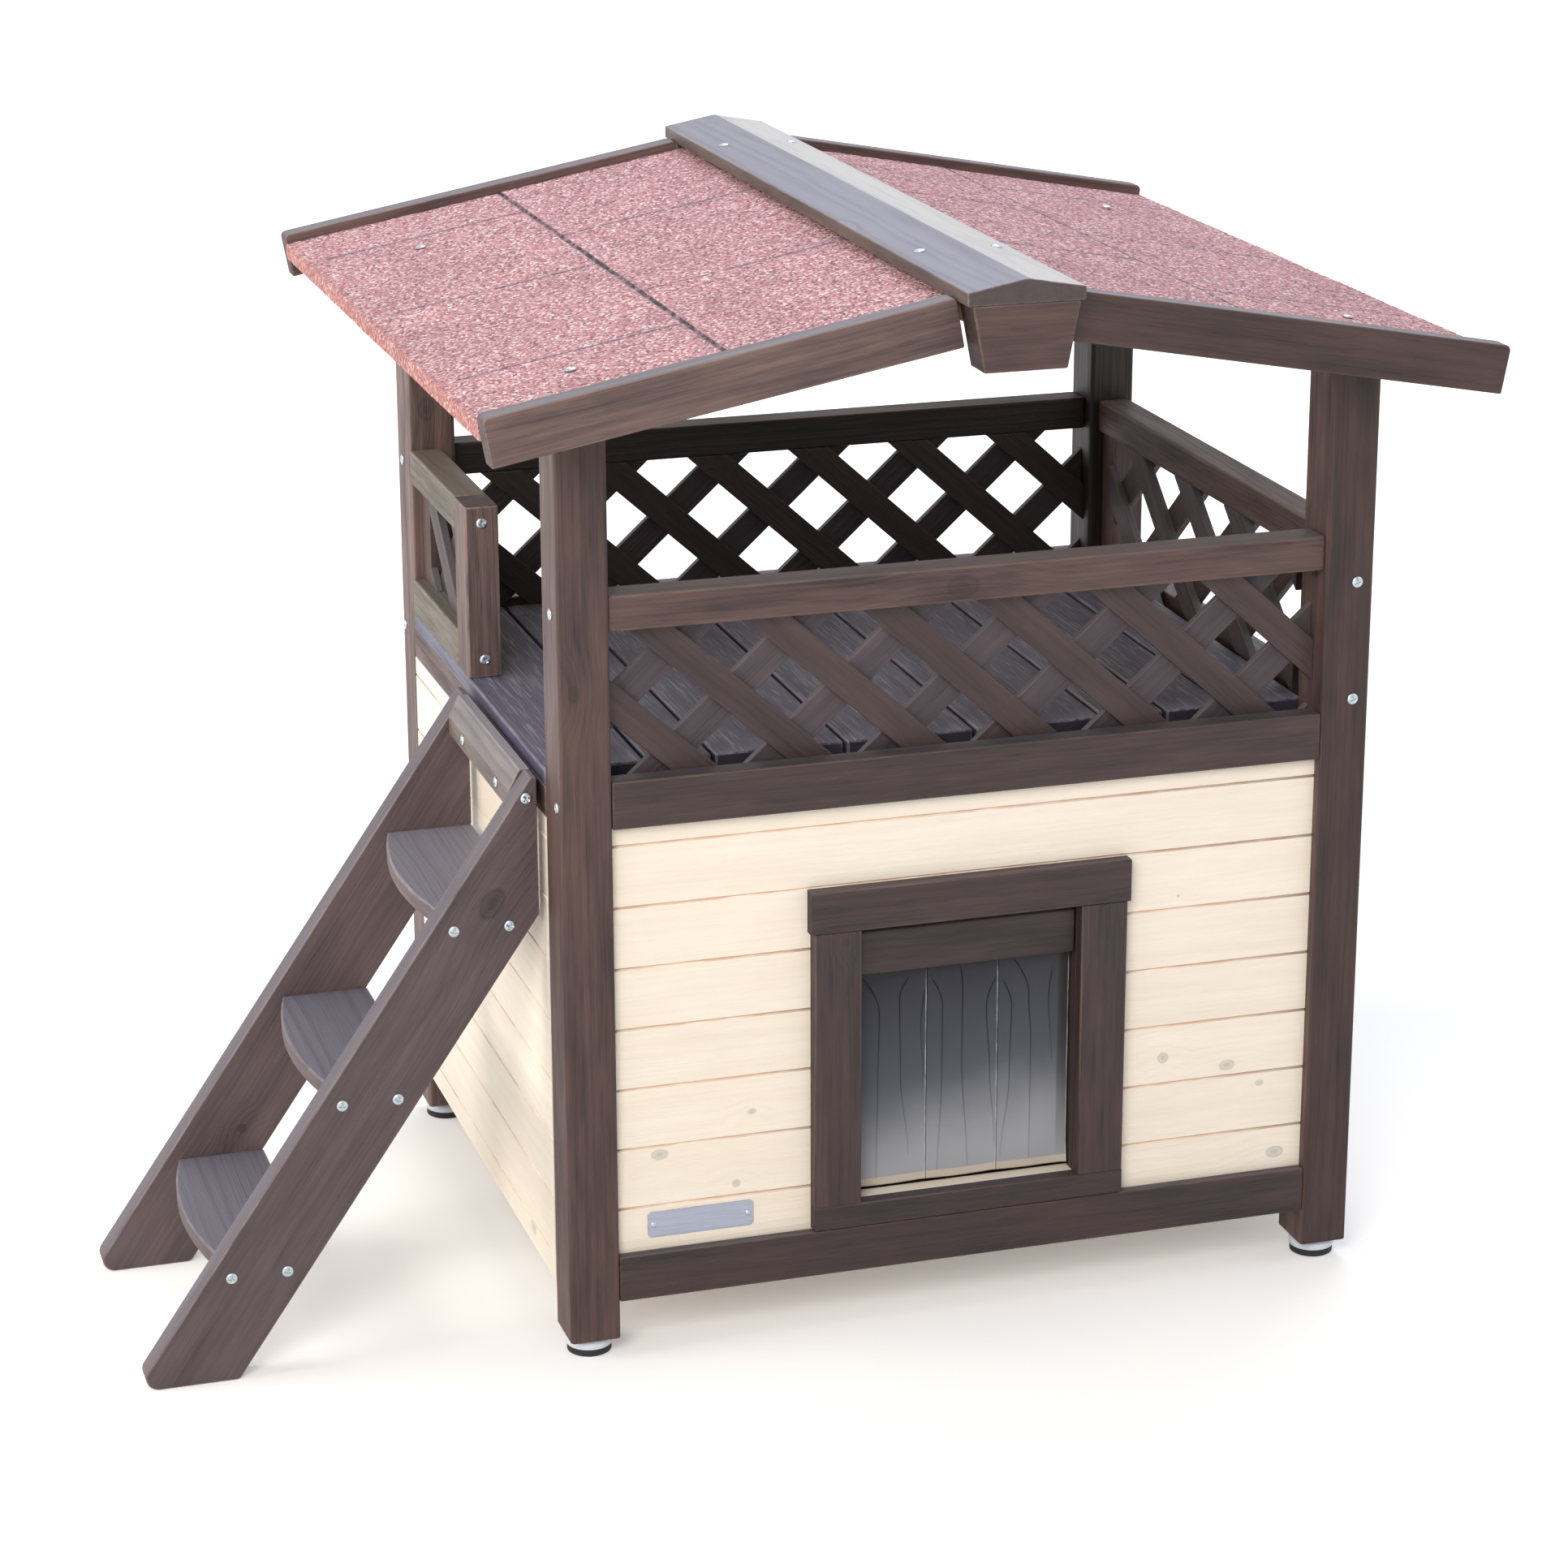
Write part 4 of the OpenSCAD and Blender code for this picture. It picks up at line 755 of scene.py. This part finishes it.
# Stairs: two sawn stringers, three treads with bowed noses let in between them, and a board
# between their tops. All of it is screwed from the outer faces of the stringers, and two
# screws through the top board hang it on the deck's edge.
STAIR = radians(55.3)
STAIR_X, STAIR_TOP, STAIR_Y, STRINGER_T, INNER = -5, 418, 45.5, 20, 184.5
TOE_R, HEEL_R, STRINGER_W, TOP_FLAT = 9, 5, 60, 4.5
TREAD_TOP, TREAD_RISE, TREAD_DEPTH, NOSE_RISE, TREAD_T = DECK_Z - 104.5, 118, 75.5, 12.7, 12
TREAD_RUN = TREAD_RISE / tan(STAIR)
HEAD_H, HEAD_T = 29, 15
STAIR_IN, STAIR_OUT = STAIR_Y + STRINGER_T, STAIR_Y + STRINGER_T + INNER
toe_x = STAIR_X - TOP_FLAT - STAIR_TOP / tan(STAIR)
heel_x = toe_x + STRINGER_W / sin(STAIR)
toe = (toe_x + TOE_R / tan(STAIR / 2), TOE_R)
heel = (heel_x - HEEL_R * tan(STAIR / 2), HEEL_R)
stringer = [(STAIR_X, STAIR_TOP), (STAIR_X - TOP_FLAT, STAIR_TOP),
            *arc(toe, TOE_R, pi / 2 + STAIR, 1.5 * pi, 9),
            *arc(heel, HEEL_R, 1.5 * pi, 1.5 * pi + STAIR, 6),
            (STAIR_X, (STAIR_X - heel_x) * tan(STAIR))]
stair_spruce = timber("stained_spruce_stairs", "#645455", "#392e31", "#6a6976", 0.95, "#938780")
# The front stringer's front face is painted darker and the back one's lighter: painted shade and
# light
for name, y, knot, shade in (("front", STAIR_IN, ((-38, 45.5, 330), 8), -0.4),
                             ("back", STAIR_OUT + STRINGER_T, None, 0.4)):
    made = sawn(stringer, STRINGER_T, (0, y, 0), X, Z, along=(cos(STAIR), 0, sin(STAIR)),
                through=Y, rounding=1.2, facet=2.4, knot=knot, tint=0.0, front=shade)
    place(name + "_stringer", [made], stair_spruce, "stair_stringer_" + name)
nose_r = (INNER * INNER / 4 + NOSE_RISE ** 2) / (2 * NOSE_RISE)
half_turn = asin(INNER / 2 / nose_r)
# The upper tread is painted lighter: painted light
for i, (name, shade) in enumerate((("upper", 1.5), ("middle", 0.1), ("lower", 0.0))):
    back = STAIR_X - i * TREAD_RUN
    outline = [(back, STAIR_IN), (back, STAIR_OUT),
               *arc((back - TREAD_DEPTH + nose_r, STAIR_IN + INNER / 2), nose_r,
                    pi - half_turn, pi + half_turn, 28)]
    made = sawn(outline, TREAD_T, (0, 0, TREAD_TOP - i * TREAD_RISE - TREAD_T), X, Y, along=Y,
                through=Z, rounding=1.5, facet=8, tint=shade)
    place(name + "_tread_board", [made], stair_spruce, "stair_tread_" + name)
# Its slopes that look right are paled: a painted reflection
weathered_spruce = timber("stained_spruce_weathered", "#615248", "#3b3132", "#7d7c89", 1.0,
                          "#918b87", wear=0.35, ring=5, depth=1.6, rough=0.5, right_slope_reflection=0.8)
head_foot, head_face = STAIR_TOP - HEAD_H, STAIR_X - HEAD_T
head_board = [(STAIR_X, head_foot), (STAIR_X, STAIR_TOP), (STAIR_X - HEAD_T / 2, STAIR_TOP),
              (head_face, STAIR_TOP - HEAD_H / 2), (head_face, head_foot)]
made = sawn(head_board, INNER, (0, STAIR_OUT, 0), X, Z, through=X, rounding=1.0, tint=1.9)
place("stair_head_board", [made], weathered_spruce, "stair_top_board")

# Roof frame: two pairs of rafters at the posts, and on each side a plywood panel nailed on them.
PANEL_T, FELT_T, EAVE, GAP = 9, 2.7, 355.2, 19.5
ROOF_Y = (-51, 599.4)
RAFTER_H, RAFTER_T = 28, 20
PANEL_TOP = ROOF_UNDER + PANEL_T / cos(LEAN)


def slab(side, x0, x1, low, high, y0, y1, **ways):
    """A slab along one slope, between two heights at the ridge line."""
    ring = [(RIDGE_X + side * x, z - x * ROOF_SLOPE)
            for x, z in ((x0, low), (x1, low), (x1, high), (x0, high))]
    return sawn(ring[::side], y1 - y0, (0, y1, 0), X, Z, **ways)


rafters = [slab(side, 0.15, RIDGE_X, ROOF_UNDER - RAFTER_H, ROOF_UNDER, y, y + RAFTER_T,
                along=(cos(LEAN), 0, -side * sin(LEAN)), through=Y)
           for side in (-1, 1) for y in (42, 495)]
place("rafter_bars", rafters, base_spruce, "rafters")
for side, name in ((-1, "left"), (1, "right")):
    panel = slab(side, GAP, EAVE, ROOF_UNDER, PANEL_TOP, *ROOF_Y, rounding=0.3)
    place(name + "_roof_sheet", [panel], raw_spruce, "roof_panel_" + name)

# Roof felt: bitumen shingle strips faced with crushed stone, nailed in two courses on each
# slope and folded over the eaves. The grit is 1 to 2 mm across, in pinks, reds and greys.
FELT_TOP = ROOF_UNDER + (PANEL_T + FELT_T) / cos(LEAN)
SEAM, CUT, CUT_DEEP, COURSE_STEP = 184, 2.5, 1.2, 0.5
SLOT_PITCH, SLOT_FIRST, SLOT_END = 222, (231, 120), 14
STATION, EAVE_ROUND, HEM, GRIT, WAVE = 4, 1.2, 9, 0.45, 0.4

felt, put = new_finish("mineral_felt")
where = put("TexCoord")["Object"]
gap, fold = (put("Attribute " + title)["Fac"] for title in ("gap", "fold"))
grit = put("TexVoronoi", {"Vector": where, "Scale": 520.0})
draw = put("SeparateColor", (grit["Color"],))
pale = put("MapRange", (draw["Green"], 0.78, 0.86))[0]
dark = put("MapRange", (draw["Blue"], 0.74, 0.82, 0.0, 0.85))[0]
tone = "#aa6d70"
for factor, over in ((draw["Red"], "#cfa3a7"), (pale, "#e8d1ce"), (dark, "#6e4b4f")):
    tone = put("Mix RGBA", {0: factor, 6: tone, 7: over})[2]
broad = put("TexNoise", {"Vector": where, "Scale": 14.0, "Detail": 4.0})[0]
broad = put("MapRange", (broad, 0.3, 0.7, 0.9, 1.1))[0]
tone = put("HueSaturation", {"Value": broad, "Color": tone})[0]
warm = put("Math MULTIPLY", (fold, 0.35))[0]
worn = put("TexNoise", {"Vector": where, "Scale": 130.0, "Detail": 3.0})[0]
worn = put("MapRange", (worn, 0.38, 0.58, 0.3, 1.0))[0]
# Beside a seam the grit thins out, and in it the bitumen is bare
thin, none = (put("Math MULTIPLY", (put("MapRange", (gap, *ramp))[0], worn))[0]
              for ramp in ((0.0, 0.5, 0.0, 0.8), (0.5, 1.0, 0.0, 1.0)))
for factor, over in ((warm, "#b5705a"), (thin, "#857c8a"), (none, "#43373a")):
    tone = put("Mix RGBA", {0: factor, 6: tone, 7: over})[2]
surface(put, tone, 0.86, grit["Distance"], 0.8, 0.0012, invert=True)


def steps_between(start, end, marks):
    """Stations from start to end, with the two sides of each mark added exactly."""
    count = round((end - start) / STATION)
    spots = [start + (end - start) * i / count for i in range(count + 1)]
    for mark in marks:
        spots = [s for s in spots if not mark - 2 < s < mark + CUT + 2.5]
        spots += [mark + off for off in (-1.2, -0.1, 0.3, CUT - 0.3, CUT + 0.1, CUT + 1.8)]
    return sorted(s for s in spots if start <= s <= end)


def felt_sheet(side):
    """The felt of one slope, from the ridge down and round the eave."""
    slots = [[y for y in (ROOF_Y[0] + first + i * SLOT_PITCH for i in range(4))
              if y < ROOF_Y[1] - SLOT_END] for first in SLOT_FIRST]
    stations = steps_between(*ROOF_Y, slots[0] + slots[1])
    round_x = EAVE - EAVE_ROUND
    # Each link of the chain is a place on the panel, the way out of it, and how far down it is
    chain = [(Vector((side * x, 0, PANEL_TOP - x * ROOF_SLOPE)),
              Vector((side * sin(LEAN), 0, cos(LEAN))), x)
             for x in steps_between(GAP, round_x, [SEAM])]
    eave = Vector((side * round_x, 0, PANEL_TOP - round_x * ROOF_SLOPE))
    for i in range(1, 5):
        turn = LEAN + (pi / 2 - LEAN) * i / 4
        chain.append((eave, Vector((side * sin(turn), 0, cos(turn))), EAVE + i))
    chain += [(eave - Z * HEM * i / 3, X * side, EAVE + HEM) for i in range(1, 4)]
    under = [(EAVE, PANEL_TOP - EAVE * ROOF_SLOPE - HEM), (EAVE, PANEL_TOP - EAVE * ROOF_SLOPE),
             (GAP, PANEL_TOP - GAP * ROOF_SLOPE)]
    points, faces, marks = [], [], []
    for y in stations:
        for base, out, x in chain:
            # How far off the nearest seam and slot are; at their edges the grit has fallen off
            off = max(SEAM - x, x - SEAM - CUT)
            aside = 9
            if x <= EAVE - SLOT_END:
                aside = min(max(s - y, y - s - CUT) for s in slots[x > SEAM])
            bared = max(min(1.0, 1 - off / 1.1), 0.55 * min(1.0, 1 - aside / 2.2), 0.0)
            rise = FELT_T - GRIT + GRIT * noise.noise(Vector((x, y, side * 40)) / 2.3)
            rise += WAVE * noise.noise(Vector((x, y, side * 90)) / 60)
            rise -= CUT_DEEP * (min(off, aside) < 0) + COURSE_STEP * (SEAM + CUT <= x < EAVE)
            p = base + out * rise
            points.append(corner + Vector((RIDGE_X + p.x, y, p.z)) / 1000)
            marks.append((bared, max(0.0, min(1.0, (x - EAVE + 6) / 9))))
        for x, z in under:
            points.append(corner + Vector((RIDGE_X + side * x, y, z)) / 1000)
            marks.append((0.0, 0.0))
    ring = len(chain) + len(under)
    for i in range(len(stations) - 1):
        for j in range(ring):
            a, b = i * ring + j, i * ring + (j + 1) % ring
            faces.append((a, b, b + ring, a + ring) if side > 0 else (a + ring, b + ring, b, a))
    near, far = [*range(ring)], [*range(len(points) - ring, len(points))]
    faces += [near[::-side], far[::side]]
    return points, faces, dict(zip(("gap", "fold"), zip(*marks)))


for side, name in ((-1, "left"), (1, "right")):
    place(name + "_felt_courses", [felt_sheet(side)], felt, "felt_" + name, sharp=50)

# Barge boards: planed boards nailed to the ends of the roof panels, their tops above the felt.
BARGE_TOP = FELT_TOP + 6.8
BARGE_H, BARGE_T, BARGE_END = 33.7, 17, EAVE + 2.5
CAP_W = 81.6
inner = CAP_W / 2 + 0.8
length = (BARGE_END - inner) / cos(LEAN)
outline = [(0, 0), (length, 0), *arc((length - 4, BARGE_H - 4), 4, 0, pi / 2, 4),
           *arc((3, BARGE_H - 3), 3, pi / 2, pi, 4)]
# Front faces are painted lighter on the left boards and darker on the right front board: painted
# light and shade
for name, y, right_shade in (("front", ROOF_Y[0] - BARGE_T, -1.9), ("back", ROOF_Y[1], 0.0)):
    pair = []
    for side, shade in ((-1, 1.9), (1, right_shade)):
        run = Vector((side * cos(LEAN), 0, -sin(LEAN)))
        rise = Vector((side * sin(LEAN), 0, cos(LEAN)))
        at = Vector((RIDGE_X + side * inner, 0, BARGE_TOP - inner * ROOF_SLOPE)) - rise * BARGE_H
        # A right board is made from its back face forward, a left one the other way
        at.y = y + BARGE_T if side > 0 else y
        pair.append(sawn(outline, BARGE_T, at, run, rise, along=run, through=Y, rounding=1.2,
                         facet=2.5, tint=0.0, front=shade))
    place(name + "_barge_pair", pair, stained_spruce, "barge_boards_" + name)

# Ridge: a solid cap planed to the two slopes, screwed down through the panels, and under each
# of its ends a wedge-shaped block. The cap is pale in streaks: weathering, with a painted
# reflection on its slopes, strongest on the right one.
CAP_EDGE, CROWN_FLAT = 9.2, 1.5
BLOCK, BLOCK_T = [(-29, -44.5), (29, -44.5), (37.5, 0), (-37.5, 0)], 27
low, high = node_box("ridge_cap")
half = CAP_W / 2
crown = CAP_EDGE + half * ROOF_SLOPE
section = [(-half, 0), (half, 0), (half, CAP_EDGE), (CROWN_FLAT, crown - 0.3),
           (-CROWN_FLAT, crown - 0.3), (-half, CAP_EDGE)]
cap = sawn(section, high.y - low.y, (RIDGE_X, high.y, low.z), X, Z, rounding=0.9, facet=3.5,
           tint=0.1)
place("ridge_cap_board", [cap], weathered_spruce, "ridge_cap")
blocks = [sawn(BLOCK, BLOCK_T, (RIDGE_X, y, low.z), X, Z, along=X, through=Y, rounding=1.3,
               tint=-0.6) for y in (low.y + BLOCK_T, high.y)]
place("ridge_end_blocks", blocks, stained_spruce, "ridge_blocks")

# Screws: zinc-plated steel with pan heads and a cross recess, driven until they sit on the wood.
HEAD = ((4.0, 0), (4.0, 0.55), (3.75, 0.85), (3.3, 1.08), (2.75, 1.23), (2.2, 1.32), (1.65, 1.38),
        (1.1, 1.4), (0.55, 1.4), (0, 1.4))


def recess(x, y, h):
    """The cross recess in a head: two arms, deepest in the middle."""
    short, long = sorted((abs(x), abs(y)))
    return h - (1.15 - 0.28 * long) if short < 0.62 and long < 2.5 and h > 0.9 else h


def screws(axis, length, spots):
    """Screws of one length that all point one way."""
    shank = ((0, -length), (0.4, -length), (1.8, 4 - length), (1.8, 0.2), (0, 0.2))
    made = []
    for spot in spots:
        made.append(turned(HEAD, spot, axis, 48, recess, shuffle.uniform(0, pi)))
        made.append(turned(shank, spot, axis, 12))
    return made


tread_screws = [(STAIR_X - i * TREAD_RUN - back, TREAD_TOP - i * TREAD_RISE - TREAD_T / 2)
                for i in range(3) for back in (21, 60)]
tread_screws.append((STAIR_X - HEAD_T / 2, STAIR_TOP - HEAD_H / 2))
stair_fixings = (
    screws(-Y, 42, [(x, STAIR_Y, z) for x, z in tread_screws])
    + screws(Y, 42, [(x, STAIR_OUT + STRINGER_T, z) for x, z in tread_screws])
    + screws(-X, 34, [(head_face, STAIR_IN + share * INNER, STAIR_TOP - 20)
                      for share in (0.2, 0.75)]))
place("stair_fixings", stair_fixings, zinc_plate, "stair_screws")
posts_side = [(478, 539.5), (486, 406.5), (17, 539.5), (9, 406.5)]
house_fixings = (
    screws(-Y, 64, [(577.5, 0, z) for z in (518, 432.5)])
    + screws(Y, 64, [(577.5, DEEP, z) for z in (518, 432.5)])
    + screws(-X, 58, [(0, y, z) for y, z in posts_side])
    + screws(X, 58, [(WIDE, y, z) for y, z in posts_side])
    + screws(-Y, 57, [(12.5, 268, z) for z in (539.5, 437.25)]))
for reach, ys, top, length in (
        (277, (21, 474), FELT_TOP, 33.7), (27.5, (47, 510), low.z + crown, 42)):
    for side in (-1, 1):
        spots = [(RIDGE_X + side * reach, y, top - reach * ROOF_SLOPE) for y in ys]
        house_fixings += screws((side * sin(LEAN), 0, cos(LEAN)), length, spots)
place("frame_fixings", house_fixings, zinc_plate, "frame_screws")

# Studio: a pale floor that fades into a white backdrop, large soft lamps high in front and at
# the left, one above and behind, and a weak one at the right.
scene = bpy.context.scene
ground = bpy.data.meshes.new("studio_floor")
ground.from_pydata([(-30, -30, 0), (30, -30, 0), (30, 30, 0), (-30, 30, 0)], [], [(0, 1, 2, 3)])
new_object("studio_floor", ground)
paper, put = new_finish("backdrop_paper")
rays = put("LightPath")
seen = put("Math MAXIMUM", (rays["Is Camera Ray"], rays["Is Glossy Ray"]))[0]
mottle = put("TexNoise", {"Scale": 3.0, "Detail": 2.0})[0]
tone = put("Mix RGBA", {0: mottle, 6: "#f0efed", 7: "#f4f3f1"})[2]
matt = put("BsdfDiffuse", (tone,))[0]
away = put("VectorMath LENGTH", (put("TexCoord")["Object"],))["Value"]
strength = put("MapRange", (away, 0.8, 3.0, 0.25, 0.85))[0]
glow = put("Emission", ("#ffffff", strength))[0]
dark = put("Emission", ("#000000", 0.0))[0]
extra = put("MixShader", (seen, dark, glow))[0]
put("OutputMaterial", (put("AddShader", (matt, extra))[0],))
ground.materials.append(paper)

scene.world, put = new_finish("studio", bpy.data.worlds)
rays = put("LightPath")
seen = put("Math MAXIMUM", (rays["Is Camera Ray"], rays["Is Glossy Ray"]))[0]
seen = put("Math MAXIMUM", (seen, rays["Is Transmission Ray"]))[0]
soft = put("Background", ("#f4f7ff", 0.42))[0]
white = put("Background", ("#ffffff", 1.0))[0]
put("OutputWorld", (put("MixShader", (seen, soft, white))[0],))

for name, at, size, power, tone in (
        ("key", (-1.9, -3.3, 2.6), 1.8, 106, "#fffaf4"),
        ("left", (-3.3, 0.2, 1.8), 1.8, 71, "#fff9f0"),
        ("top", (0.9, 1.3, 3.4), 2.0, 61, "#eaf1ff"),
        ("right", (3.0, -1.4, 1.8), 1.8, 9, "#f2f5ff")):
    lamp = bpy.data.lights.new(name, "AREA")
    lamp.size, lamp.energy, lamp.color = size, power, colour(tone)[:3]
    holder = new_object(name, lamp)
    holder.location = at
    holder.rotation_euler = (Z * 0.35 - Vector(at)).to_track_quat("-Z", "Y").to_euler()

# Camera: where the photograph was taken from, about three metres off and a little above the
# roof, turned to the left front corner, with a long lens.
eye, target = Vector((-0.80783, -2.80093, 1.27351)), Vector((-0.02437, -0.27245, 0.411))
sight = (target - eye).normalized()
right = sight.cross(Z).normalized()
upright = right.cross(sight)
roll = radians(-0.17)
across = right * cos(roll) + upright * sin(roll)
up = upright * cos(roll) - right * sin(roll)
scene.camera = camera = new_object("camera", bpy.data.cameras.new("camera"))
camera.matrix_world = Matrix((across, up, -sight)).transposed().to_4x4()
camera.location = eye
camera.data.sensor_width = 36
camera.data.lens = 94.05
camera.data.clip_end = 100
scene.view_settings.view_transform = "Standard"
